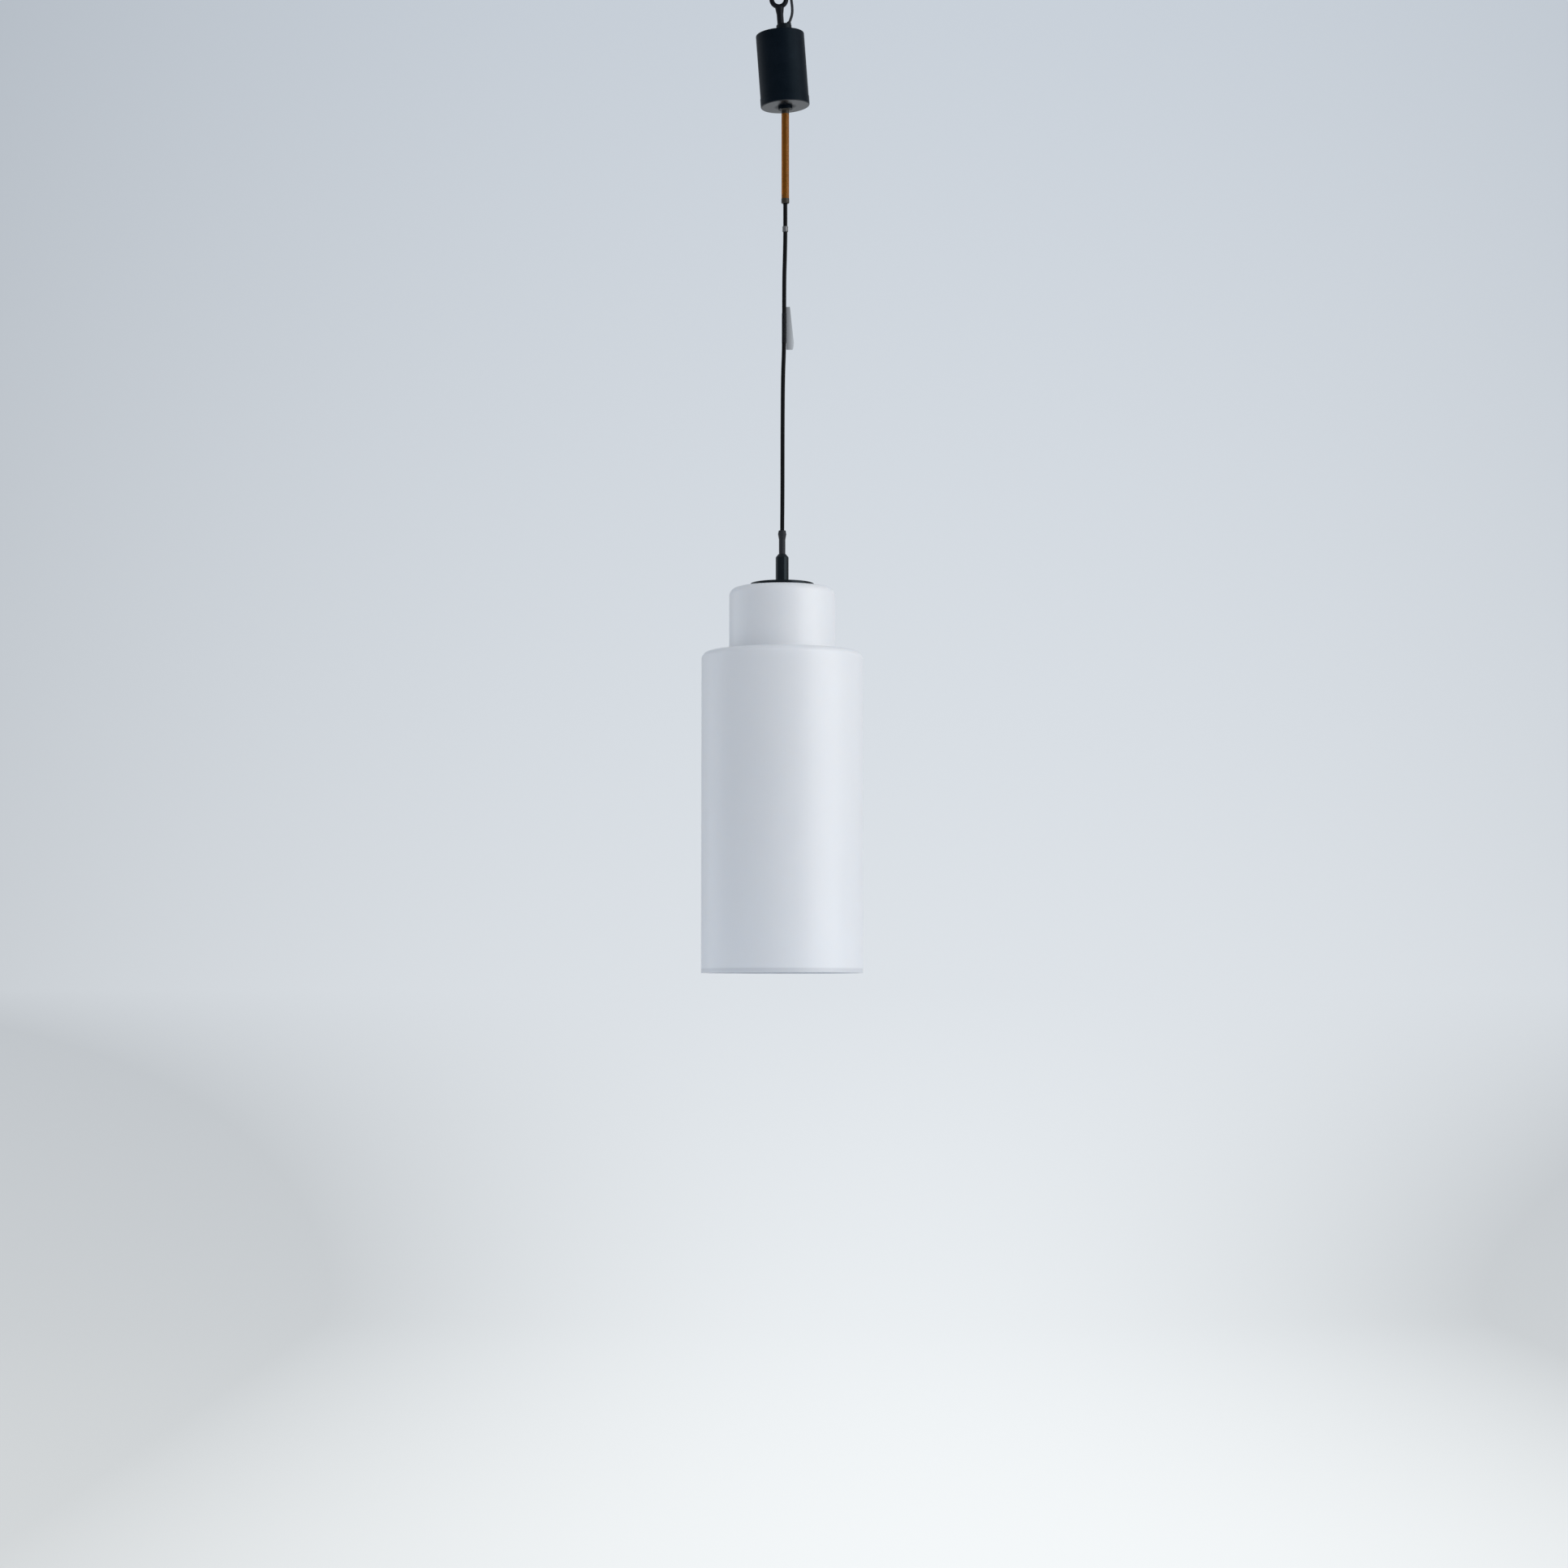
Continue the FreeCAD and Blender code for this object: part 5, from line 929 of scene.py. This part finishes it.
@dataclass(frozen=True)
class Cords:
    """The lamp's cord, the supply flex and the lengths that the reel and the canopy hold."""

    cord_start: float = 0.007
    guide_point: float = 0.05
    over_tip: float = 0.010
    over_stop: float = 0.001
    drift: tuple[Flat, ...] = (
        (0.0034, 0.416), (0.0025, 0.387), (0.0025, 0.303), (0.0010, 0.268), (0.0005, 0.198), (0.0004, 0.112),
        (0.0, 0.072),
    )
    gland_side: float = 0.0117
    gland_top: float = 0.1045
    gland_lean: float = math.radians(22)
    flex_start: float = 0.003
    supply_bends: tuple[Point, ...] = (
        (0.0158, 0, -0.1033), (0.0172, 0, -0.0964), (0.0170, 0, -0.0886), (0.0154, 0, -0.0765),
        (0.0140, 0, -0.0620),
    )
    grommet: Point = (0.014, 0, -0.0477)
    flex_held: float = -0.052
    flex_loose: float = -0.103
    tail_bends: tuple[Point, ...] = (
        (0.014, 0, -0.038), (0.012, 0.006, -0.029), (0.004, 0.012, -0.021), (-0.008, 0.012, -0.014),
        (-0.016, 0.007, -0.0095),
    )
    terminal: Point = (-0.022, 0, -0.008)
    half_width: float = 0.013
    lay_gap: float = 0.0001
    outer_reach: float = 0.02115
    outer_pitch: float = 0.00565
    outer_turns: float = 3.0
    inlet: float = 0.0125
    feed_run: float = 0.012
    feed_end: float = 0.0078
    feed_rise: float = 0.0068
    hub: float = 0.0133
    inner_turns: float = 3.9
    pressed: float = 0.97
    outer_steps: int = 48
    inner_steps: int = 64
    winding_sides: int = 16

    def lamp_cord(self) -> bpy.types.Object:
        """Makes the cord from the nozzle, down the guide and past the stop into the grip."""
        x = NOZZLE.x
        tip = NOZZLE.z - GUIDE_LENGTH
        route = [(x, 0, NOZZLE.z + self.cord_start), (x, 0, NOZZLE.z - self.guide_point), (x, 0, tip),
                 (x, 0, STOP_TOP), (x, 0, STOP_TOP - 2 * STOP_LENGTH)]
        route += [(LAMP_X + aside, 0, GLASS_TOP + height) for aside, height in self.drift]
        route.append((LAMP_X, 0, GLASS_TOP + GRIP_FOOT + CORD_TAIL))
        path = smooth_path(route)
        cord = tube("lamp_cord", path, CORD_RADIUS, Look.SHEATH)
        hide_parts("upper_cord", "lower_cord")
        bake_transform(cord)
        pieces = CordPieces()
        stop, flag = pieces.crimped_stop(), pieces.cord_flag()
        return cord

    def supply_flex(self) -> bpy.types.Object:
        """Makes the thin flex from the gland on the reel up to the canopy's grommet."""
        lean = self.gland_lean
        seat = reel_point(self.gland_side, 0, self.gland_top)
        start = seat + Vector((math.sin(lean), 0, math.cos(lean))) * self.flex_start
        path = smooth_path([tuple(start), *self.supply_bends, self.grommet])
        flex = tube("supply_flex_free", path, FLEX_RADIUS, Look.SUPPLY)
        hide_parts("supply_flex")
        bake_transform(flex)
        return flex

    def supply_tail(self) -> bpy.types.Object:
        """Makes the flex inside the canopy, from the grommet to the terminal block."""
        path = smooth_path([self.grommet, *self.tail_bends, self.terminal])
        tail = tube("supply_tail_run", path, FLEX_RADIUS, Look.SUPPLY)
        return stand_in(tail, "ceiling", "supply_tail")

    def winding(self, reach: float, angles: Flat, across: Flat, count: int) -> list[Vector]:
        """Reads the line of one layer on the drum.

        Args:
            reach: The layer's radius.
            angles: Where round the drum it starts and ends.
            across: Where along the drum it starts and ends.
            count: How many steps it is laid in.

        Returns:
            Points along the layer.
        """
        lay = []
        for i in range(count + 1):
            angle = angles[0] + (angles[1] - angles[0]) * i / count
            side = across[0] + (across[1] - across[0]) * i / count
            lay.append(reel_point(reach * math.cos(angle), side, DRUM_HEIGHT + reach * math.sin(angle)))
        return smooth_path(lay, steps=4)

    def wound_cord(self) -> list[bpy.types.Object]:
        """Makes the two layers on the drum and the cord that runs off it to the nozzle."""
        leaving = -math.pi / 2 + math.acos(self.outer_reach / (DRUM_HEIGHT - self.inlet))
        first = -self.half_width + CORD_RADIUS + self.lay_gap
        last = first + self.outer_pitch * self.outer_turns
        angles = (leaving + TURN * self.outer_turns, leaving)
        outer_path = self.winding(self.outer_reach, angles, (first, last), self.outer_steps)
        outer = tube("outer_winding", outer_path, CORD_RADIUS, Look.SHEATH, self.winding_sides)
        leave = outer_path[-1]
        heading = (leave - outer_path[-2]).normalized()
        end = NOZZLE + Vector((0, 0, self.feed_end))
        route = [leave, leave + heading * self.feed_run, end + Vector((0, 0, self.feed_rise)), end]
        feed = tube("drum_to_nozzle_cord", smooth_path(route), CORD_RADIUS, Look.SHEATH)
        inner_reach = self.hub + CORD_RADIUS + self.lay_gap
        angles = (0.0, TURN * self.inner_turns)
        inner_path = self.winding(inner_reach, angles, (first, -first), self.inner_steps)
        thin = CORD_RADIUS * self.pressed
        inner = tube("inner_winding", inner_path, thin, Look.SHEATH, self.winding_sides)
        return [
            stand_in(outer, "drum", "cord_layer_outer"),
            stand_in(feed, "reel", "feed_cord"),
            stand_in(inner, "drum", "cord_layer_inner"),
        ]

    def build(self) -> None:
        """Makes every cord."""
        for piece in (self.lamp_cord(), self.supply_flex(), self.supply_tail(), *self.wound_cord()):
            log.info("cord %s", piece.name)


@dataclass(frozen=True)
class CeilingFitting:
    """The strap, hook, canopy and connections at the ceiling."""

    block_side: float = 0.029
    block_pitch: float = 0.008
    head: float = 0.0018
    head_height: float = 0.0008
    stem: float = 0.0015

    def terminal_screws(self) -> bpy.types.Object:
        """Makes the slotted screws of the terminal block, reached from below."""
        low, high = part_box("terminal_screws")
        length = high[2] - low[2] - self.head_height
        screw = Screw(self.head, self.head_height, self.stem, length, Recess.SLOT)
        seat = low[2] + self.head_height
        places = [Vector((-self.block_side, way * self.block_pitch, seat)) for way in (-1, 0, 1)]
        screws = screw.place("slotted_terminal_screws", places, (math.pi, 0.0, 0.0), Look.ZINC, seed=4)
        return stand_in(screws, "ceiling", "terminal_screws")

    def build(self) -> None:
        """Makes the screws and dresses the fitting's nodes."""
        dress(Look.ZINC, "ceiling_plate", "hook_nut")
        dress(Look.OXIDE, "ceiling_hook")
        dress(Look.PAINT, "canopy_cup", "canopy_collar")
        dress(Look.RUBBER, "canopy_grommet")
        dress(Look.NYLON, "terminal_block")
        self.terminal_screws()
        grub_screw("collar_grub_screw", "collar_screw", "ceiling", seed=6)


@dataclass(frozen=True)
class Reel:
    """The case that leans under the eye, and the mechanism inside it."""

    screw_side: float = 0.0132
    screw_head: float = 0.0028
    screw_sink: float = 0.0015
    screw_stem: float = 0.0015
    screw_length: float = 0.0065

    def cover_screws(self) -> bpy.types.Object:
        """Makes the two cross-recess screws that hold the cover."""
        screw = Screw(self.screw_head, self.screw_sink, self.screw_stem, self.screw_length, Recess.CROSS)
        places = [reel_point(0.0, side * self.screw_side, self.screw_sink) for side in (-1, 1)]
        facing = (math.pi, -REEL_TILT, 0.0)
        screws = screw.place("cross_cover_screws", places, facing, Look.OXIDE, seed=11)
        return stand_in(screws, "reel", "cover_screws")

    def build(self) -> None:
        """Makes the cover's screws and dresses the reel's nodes."""
        dress(Look.OXIDE, "hanger_eye")
        dress(Look.PAINT, "top_boss")
        dress(Look.CASE, "reel_shell")
        dress(Look.COVER, "bottom_cover", "nozzle", "fairlead")
        dress(Look.RUBBER, "supply_gland")
        dress(Look.ZINC, "hanger_nut", "reel_frame", "drum_axle", "axle_clips")
        dress(Look.SPRING, "mainspring", "spring_arbor")
        dress(Look.NYLON, "cord_drum", "drum_lid")
        dress(Look.BRASS, "slip_rings", "brushes")
        dress(Look.BOARD, "brush_holder")
        self.cover_screws()


@dataclass(frozen=True)
class Guide:
    """The ball and tube that steady the cord under the reel."""

    def build(self) -> None:
        """Dresses the guide's nodes."""
        dress(Look.DARK, "guide_ball", "guide_tip")
        dress(Look.AMBER, "guide_tube")


@dataclass(frozen=True)
class CordPieces:
    """The ferrule and the film on the lamp's cord."""

    stop_radius: float = 0.0036
    stop_bore: float = 0.0028
    stop_chamfer: float = 0.0005
    stop_rings: tuple[float, ...] = (-0.0006, -0.0020, -0.0035, -0.0050, -0.0064)
    stop_sides: int = 48
    crimp_flats: int = 6
    crimp_depth: float = 0.0005
    crimp_half: float = 0.0012
    flag_foot_height: float = 0.299
    flag_length: float = 0.054
    flag_reach: float = 0.0122
    flag_foot: float = 0.0104
    flag_head: float = 0.0072
    flag_corner: float = 0.0080
    film: float = 0.0002
    curl: float = 0.0006
    curls: float = 9.0
    curl_lag: float = 2.2
    film_columns: int = 10
    film_rows: int = 40
    sleeve_inset: float = 0.0081
    sleeve_wall: float = 0.00035
    sleeve_sides: int = 48
    sleeve_rows: int = 12

    def crimped_stop(self) -> bpy.types.Object:
        """Makes the ferrule with the flats that the crimping tool left."""
        shape = bmesh.new()
        shoulder = self.stop_radius - self.stop_chamfer
        profile = [(self.stop_bore, 0.0), (shoulder, 0.0)]
        profile += [(self.stop_radius, height) for height in self.stop_rings]
        profile += [(shoulder, -STOP_LENGTH), (self.stop_bore, -STOP_LENGTH)]
        rings = []
        for reach, height in profile:
            ring = ring_at(shape, reach, height, self.stop_sides)
            off_middle = (height + STOP_LENGTH / 2) / self.crimp_half
            pressed = self.crimp_depth * math.exp(-(off_middle ** 2)) if reach > self.stop_bore else 0.0
            for i, point in enumerate(ring):
                flat = max(0.0, math.cos(self.crimp_flats * TURN * i / self.stop_sides))
                point.co.xy *= 1 - pressed * flat / reach
            rings.append(ring)
        bridge(shape, rings + rings[:1])
        bmesh.ops.translate(shape, verts=shape.verts, vec=(NOZZLE.x, 0, STOP_TOP))
        stop = piece_from("crimped_ferrule", shape, Look.CRIMP)
        return stand_in(stop, "lamp", "crimped_stop")

    def flag_edge(self, up: float) -> float:
        """Returns how far the film reaches from the cord's axis.

        Args:
            up: The height as a share of the flag's length.

        Returns:
            The reach in metres, largest at the corner above the flag's foot.
        """
        bend = self.flag_corner / self.flag_length
        if up < bend:
            return self.flag_foot + (self.flag_reach - self.flag_foot) * math.sqrt(up / bend)
        return self.flag_reach + (self.flag_head - self.flag_reach) * (up - bend) / (1 - bend)

    def cord_flag(self) -> bpy.types.Object:
        """Makes the thin film folded round the cord, widening down to a corner above its foot."""
        shape = bmesh.new()
        axis = LAMP_X + FLAG_OFFSET
        foot = GLASS_TOP + self.flag_foot_height
        fin = []
        for row in range(self.film_rows + 1):
            up = row / self.film_rows
            edge = self.flag_edge(up)
            line = []
            for column in range(self.film_columns + 1):
                share = column / self.film_columns
                out = CORD_RADIUS + (edge - CORD_RADIUS) * share
                wave = self.curl * share * math.sin(self.curls * up + self.curl_lag * share)
                line.append(shape.verts.new((axis + out, wave, foot + self.flag_length * up)))
            fin.append(line)
        weave(shape, fin)
        film_faces = list(shape.faces)
        shape.normal_update()
        foot += self.sleeve_inset
        tall, reach = self.flag_length - 2 * self.sleeve_inset, CORD_RADIUS + self.sleeve_wall
        heights = [foot + tall * row / self.sleeve_rows for row in range(self.sleeve_rows + 1)]
        sleeve = [ring_at(shape, reach, height, self.sleeve_sides, axis) for height in heights]
        weave(shape, sleeve, closed=True)
        bmesh.ops.solidify(shape, geom=film_faces, thickness=self.film)
        bmesh.ops.recalc_face_normals(shape, faces=shape.faces)
        flag = piece_from("cord_flag_film", shape, Look.FLAG, smooth=False)
        return stand_in(flag, "lamp", "cord_flag")


@dataclass(frozen=True)
class LampHead:
    """The pieces on the lamp's own body, from the grip on its cord to the bulb."""

    neck: float = 0.0656
    neck_drop: float = 0.0802
    neck_round: float = 0.0105
    body: float = 0.0998
    body_round: float = 0.0090
    height: float = 0.4765
    wall: float = 0.0035
    hole: float = 0.021
    neck_foot: float = 0.002
    bevel: float = 0.0006
    felt_inner: float = 0.024
    felt_outer: float = 0.038
    felt_thick: float = 0.0023
    felt_fuzz: float = 0.00016
    felt_fibres: float = 900.0
    felt_steps: int = 12
    holder_foot: float = -0.0733
    holder_ring: float = 0.0215
    rib_count: int = 40
    rib_radius: float = 0.0007
    rib_height: float = 0.0088
    rib_middle: float = 0.007
    rib_sunk: float = 0.0001
    bulb: float = 0.030
    bulb_neck: float = 0.0124
    bulb_wall: float = 0.0008
    bulb_top: float = -0.0714
    bulb_length: float = 0.082
    bulb_slope: int = 40
    wall_runs: int = 16

    def at(self, height: float = 0.0) -> Vector:
        """Returns the point of the lamp's axis at a height over the glass's top."""
        return Vector((LAMP_X, 0.0, GLASS_TOP + height))

    def opal_shade(self) -> bpy.types.Object:
        """Makes the blown shade as one wall, rounded where the mould was and ground at its foot."""
        mouth = self.neck_foot + self.wall / 2
        under = self.neck_drop + self.wall
        inner_neck, inner_body = self.neck - self.wall, self.body - self.wall
        turn_in = self.body_round - self.wall
        low, high = -self.height + self.bevel, -self.neck_drop - self.body_round
        down = [high + (low - high) * i / self.wall_runs for i in range(1, self.wall_runs)]
        crown = (self.neck - self.neck_round, -self.neck_round)
        step = (self.neck + self.neck_foot, -self.neck_drop + self.neck_foot)
        outline = [(self.hole, 0.0)]
        outline += corner(crown, self.neck_round, 90, 0, 14)
        outline += corner(step, self.neck_foot, 180, 270)
        outline += corner((self.body - self.body_round, high), self.body_round, 90, 0, 14)
        outline += [(self.body, place) for place in down]
        outline += [(self.body, low), (self.body - self.bevel, -self.height)]
        outline += [(inner_body + self.bevel, -self.height), (inner_body, low)]
        outline += [(inner_body, place) for place in reversed(down)]
        outline += corner((inner_body - turn_in, -under - turn_in), turn_in, 0, 90)
        outline += corner((inner_neck + mouth, -under + mouth), mouth, 270, 180)
        outline += corner(crown, self.neck_round - self.wall, 0, 90)
        outline.append((self.hole, -self.wall))
        shade = turned("opal_shade", outline, self.at(), Look.OPAL, steps=192, closed=True)
        return stand_in(shade, "lamp", "glass_shade")

    def opal_bulb(self) -> bpy.types.Object:
        """Makes the bulb's thin envelope, round below and drawn in to its cap."""
        middle = self.bulb_top - self.bulb_length + self.bulb
        slope = math.radians(self.bulb_slope)
        along = Vector((-math.sin(slope), math.cos(slope)))
        walls = []
        for inset in (0.0, self.bulb_wall):
            reach = self.bulb - inset
            meet = Vector((reach * math.cos(slope), middle + reach * math.sin(slope)))
            end = Vector((self.bulb_neck - inset, self.bulb_top))
            neck = tangent_arc(meet, along, end, 14)
            walls.append(neck[::-1] + corner((0.0, middle), reach, self.bulb_slope, -90, 40))
        outline = walls[0][:-1] + [(0.0, middle - self.bulb)]
        inside = walls[1][:-1] + [(0.0, middle - self.bulb + self.bulb_wall)]
        bulb = turned("opal_bulb_envelope", inside[::-1] + outline, self.at(), Look.BULB)
        return stand_in(bulb, "lamp", "bulb_glass")

    def felt_ring(self, name: str, node: str, foot: float) -> bpy.types.Object:
        """Makes one felt ring with a fibrous surface.

        Args:
            name: The new object's name.
            node: The CAD node that it stands for.
            foot: Its underside over the glass's top.

        Returns:
            The ring.
        """
        inner, outer, top = self.felt_inner, self.felt_outer, foot + self.felt_thick
        across = [inner + (outer - inner) * i / self.felt_steps for i in range(self.felt_steps + 1)]
        outline = [(reach, foot) for reach in across] + [(reach, top) for reach in reversed(across)]
        plain = turned(name + "_plain", outline, self.at(), Look.FELT, steps=160, closed=True)
        recipe = Recipe("felt_" + name)
        fuzz = recipe.setting("Fuzz", "Float", self.felt_fuzz)
        size = recipe.setting("Fibre scale", "Float", self.felt_fibres)
        tufts = recipe.node("ShaderNodeTexNoise", inputs={"Scale": size, "Detail": 2.0})
        outwards = recipe.node("GeometryNodeInputNormal")
        shift = recipe.node("ShaderNodeVectorMath", {"operation": "SCALE"}, {
            "Vector": outwards, "Scale": (tufts - 1.0) * fuzz,
        })
        fibrous = recipe.node("GeometryNodeSetPosition", inputs={"Geometry": recipe.start, "Offset": shift})
        ring = recipe.bake(fibrous, plain.data, name, Look.FELT)
        bpy.data.objects.remove(plain)
        return stand_in(ring, "lamp", node)

    def grip_ribs(self) -> bpy.types.Object:
        """Makes the ribs round the lampholder's ring, for the fingers that unscrew it."""
        recipe = Recipe("holder_ribs")
        count = recipe.setting("Count", "Int", self.rib_count)
        reach = recipe.setting("Ring radius", "Float", self.holder_ring - self.rib_sunk)
        thick = recipe.setting("Rib radius", "Float", self.rib_radius)
        tall = recipe.setting("Rib height", "Float", self.rib_height)
        form = {"Vertices": 10, "Radius": thick, "Depth": tall}
        rib = recipe.node("GeometryNodeMeshCylinder", inputs=form)
        circle = recipe.node("GeometryNodeMeshCircle", inputs={"Vertices": count, "Radius": reach})
        ribs = recipe.node("GeometryNodeInstanceOnPoints", inputs={"Points": circle, "Instance": rib})
        middle = self.at(self.holder_foot + self.rib_middle)
        shift = {"Geometry": ribs, "Translation": tuple(middle)}
        placed = recipe.node("GeometryNodeTransform", inputs=shift)
        piece = recipe.bake(placed, line_mesh([middle]), "holder_grip_ribs", Look.BAKELITE)
        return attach(piece, "lamp")

    def build(self) -> None:
        """Makes the shade, bulb, felts, ribs and screw, and dresses the lamp's other nodes."""
        dress(Look.RUBBER, "strain_relief")
        dress(Look.GLOSS, "cord_grip", "cap_nut", "glass_cap")
        dress(Look.ZINC, "inner_plate")
        dress(Look.BRASS, "nipple", "nipple_nut", "holder_contact")
        dress(Look.BAKELITE, "holder_cap", "holder_shell")
        dress(Look.CERAMIC, "holder_insert")
        dress(Look.TIN, "bulb_cap")
        self.opal_shade()
        self.opal_bulb()
        self.felt_ring("upper_felt_ring", "upper_felt", 0.0)
        self.felt_ring("lower_felt_ring", "lower_felt", -self.wall - self.felt_thick)
        self.grip_ribs()
        grub_screw("grip_grub_screw", "grip_screw", "lamp", seed=9)


# ---------------------------------------------------------------- studio


@dataclass(frozen=True)
class SoftLight:
    """A square area lamp."""

    name: str
    place: Point
    target: Point
    size: float
    power: float
    colour: Colour

    def build(self) -> None:
        """Adds the lamp, turned to its target."""
        light = bpy.data.lights.new(self.name, "AREA")
        light.shape = "SQUARE"
        light.size = self.size
        light.energy = self.power
        light.color = self.colour
        holder = bpy.data.objects.new(self.name, light)
        holder.location = self.place
        aim = Vector(self.target) - Vector(self.place)
        holder.rotation_euler = aim.to_track_quat("-Z", "Y").to_euler()
        bpy.context.collection.objects.link(holder)


@dataclass(frozen=True)
class Paper:
    """The backdrop's tones, as the camera sees them, from the top of the wall down to the near floor, with
    painted light: darker up the wall and toward the sides, brightest low in the middle.
    """

    wall_top: Colour = (0.597, 0.651, 0.716)
    wall_foot: Colour = (0.752, 0.791, 0.831)
    far_floor: Colour = (0.85, 0.885, 0.91)
    near_floor: Colour = (0.94, 0.97, 0.98)
    # the colour of the painted shade toward the sides
    dark: Colour = (0.03, 0.04, 0.05)
    card: Colour = (0.78, 0.80, 0.83)
    wall_heights: Flat = (-1.3, 1.45)
    far: float = 4.4
    near: float = 0.6
    brightest: float = 0.5
    slant: float = 0.2
    fall: float = 0.028
    fall_below: float = 0.125
    most_painted_shade: float = 0.3
    shown: float = 0.92

    def build(self, floor: float) -> bpy.types.Material:
        """Makes the material: it lights the scene as pale card and shows its own tone, with a painted pool
        of light and painted shade toward the sides.

        Args:
            floor: The floor's height.

        Returns:
            The material.
        """
        surface = Surface("backdrop_paper")
        across, depth, height = surface.axes()
        foot, top = self.wall_heights
        # painted light: the wall darkens toward its top and the floor pales toward the camera
        wall = surface.blend(height.ramped(foot, top), self.wall_foot, self.wall_top)
        low = height.ramped(foot, floor)
        bend = surface.blend(low, wall, self.far_floor)
        ground = surface.blend(depth.ramped(self.far, self.near), bend, self.near_floor)
        # painted shade: the tone darkens to the sides of a bright middle, more so on the floor
        aside = across + low * self.slant - self.brightest
        painted_falloff = (aside * aside * (low * self.fall_below + self.fall)).most(self.most_painted_shade)
        tone = surface.blend(painted_falloff, ground, self.dark)
        rays = ("Is Camera Ray", "Is Glossy Ray", "Is Transmission Ray")
        seen, shiny, through = (surface.node("ShaderNodeLightPath", output=ray) for ray in rays)
        shown = (seen + shiny + through).clamped() * self.shown
        glow = surface.node("ShaderNodeEmission", inputs={"Color": tone, "Strength": 1.0})
        mat = surface.node("ShaderNodeBsdfDiffuse", inputs={"Color": (*self.card, 1.0)})
        lit = surface.node("ShaderNodeMixShader", inputs={0: shown, 1: mat, 2: glow})
        behind = surface.node("ShaderNodeNewGeometry", output="Backfacing")
        clear = surface.node("ShaderNodeBsdfTransparent")
        return surface.finish(surface.node("ShaderNodeMixShader", inputs={0: behind, 1: lit, 2: clear}))


@dataclass(frozen=True)
class Studio:
    """The camera at the photograph's view, soft light mostly from the right, and a pale backdrop."""

    focal_px: float = 4000.0
    image_px: float = 1932.0
    sensor: float = 36.0
    sight: float = 60.0
    distance: float = 4.0
    eye_x: float = 0.0067
    eye_z: float = -1.336
    tilt: float = math.radians(3.85)
    floor: float = -2.1
    wall: float = 5.0
    bend: float = 1.2
    bend_steps: int = 12
    top: float = 3.2
    half: float = 9.0
    sky: Colour = (0.88, 0.93, 1.0)
    sky_light: float = 0.54
    sky_seen: float = 0.21
    lights: tuple[SoftLight, ...] = (
        SoftLight("key", (3.5, -1.9, 0.2), (0.0, 0.0, -0.95), 4.0, 101.0, (1.0, 0.985, 0.96)),
        SoftLight("side", (-3.0, 1.2, -0.6), (0.0, 0.0, -0.9), 2.4, 12.0, (0.92, 0.96, 1.0)),
        SoftLight("bounce", (-1.2, -0.8, -2.0), (0.0, 0.0, -1.15), 1.6, 4.6, (0.96, 0.98, 1.0)),
    )

    def camera(self) -> bpy.types.Object:
        """Makes the camera, a little under the shade's rim and tilted up."""
        lens = bpy.data.cameras.new("view")
        lens.sensor_width = self.sensor
        lens.lens = self.focal_px / self.image_px * self.sensor
        lens.clip_end = self.sight
        camera = bpy.data.objects.new("view", lens)
        camera.location = (self.eye_x, -self.distance, self.eye_z)
        camera.rotation_euler = (math.pi / 2 + self.tilt, 0.0, 0.0)
        bpy.context.collection.objects.link(camera)
        bpy.context.scene.camera = camera
        return camera

    def backdrop(self) -> bpy.types.Object:
        """Makes a pale floor that curves up into a wall behind the lamp."""
        shape = bmesh.new()
        line = [(-self.half, self.floor)]
        for i in range(self.bend_steps + 1):
            angle = math.pi / 2 * i / self.bend_steps
            back = self.wall - self.bend + self.bend * math.sin(angle)
            line.append((back, self.floor + self.bend - self.bend * math.cos(angle)))
        line.append((self.wall, self.top))
        weave(shape, [[shape.verts.new((side, y, z)) for side in (-self.half, self.half)] for y, z in line])
        sheet = piece_from("backdrop", shape, Look.CASE)
        sheet.data.materials[0] = Paper().build(self.floor)
        return sheet

    def world(self) -> None:
        """Sets the soft light from all round, brighter where the camera sees it."""
        world = bpy.data.worlds.new("studio")
        world.use_nodes = True
        world.node_tree.nodes.clear()
        graph = Graph(world.node_tree)
        seen = graph.node("ShaderNodeLightPath", output="Is Camera Ray")
        inputs = {"Color": (*self.sky, 1.0), "Strength": seen * self.sky_seen + self.sky_light}
        graph.end("ShaderNodeOutputWorld", graph.node("ShaderNodeBackground", inputs=inputs))
        bpy.context.scene.world = world

    def build(self) -> None:
        """Makes the camera, backdrop, world and lamps."""
        self.camera()
        self.backdrop()
        self.world()
        for light in self.lights:
            light.build()
        bpy.context.scene.view_settings.view_transform = "Standard"


def main() -> None:
    """Builds the scene in order: view, cords, then each sub-assembly."""
    logging.basicConfig(level=logging.INFO, format="%(message)s")
    Studio().build()
    Cords().build()
    for assembly in (CeilingFitting(), Reel(), Guide(), LampHead()):
        log.info("building %s", type(assembly).__name__)
        assembly.build()


if __name__ == "__main__":
    main()
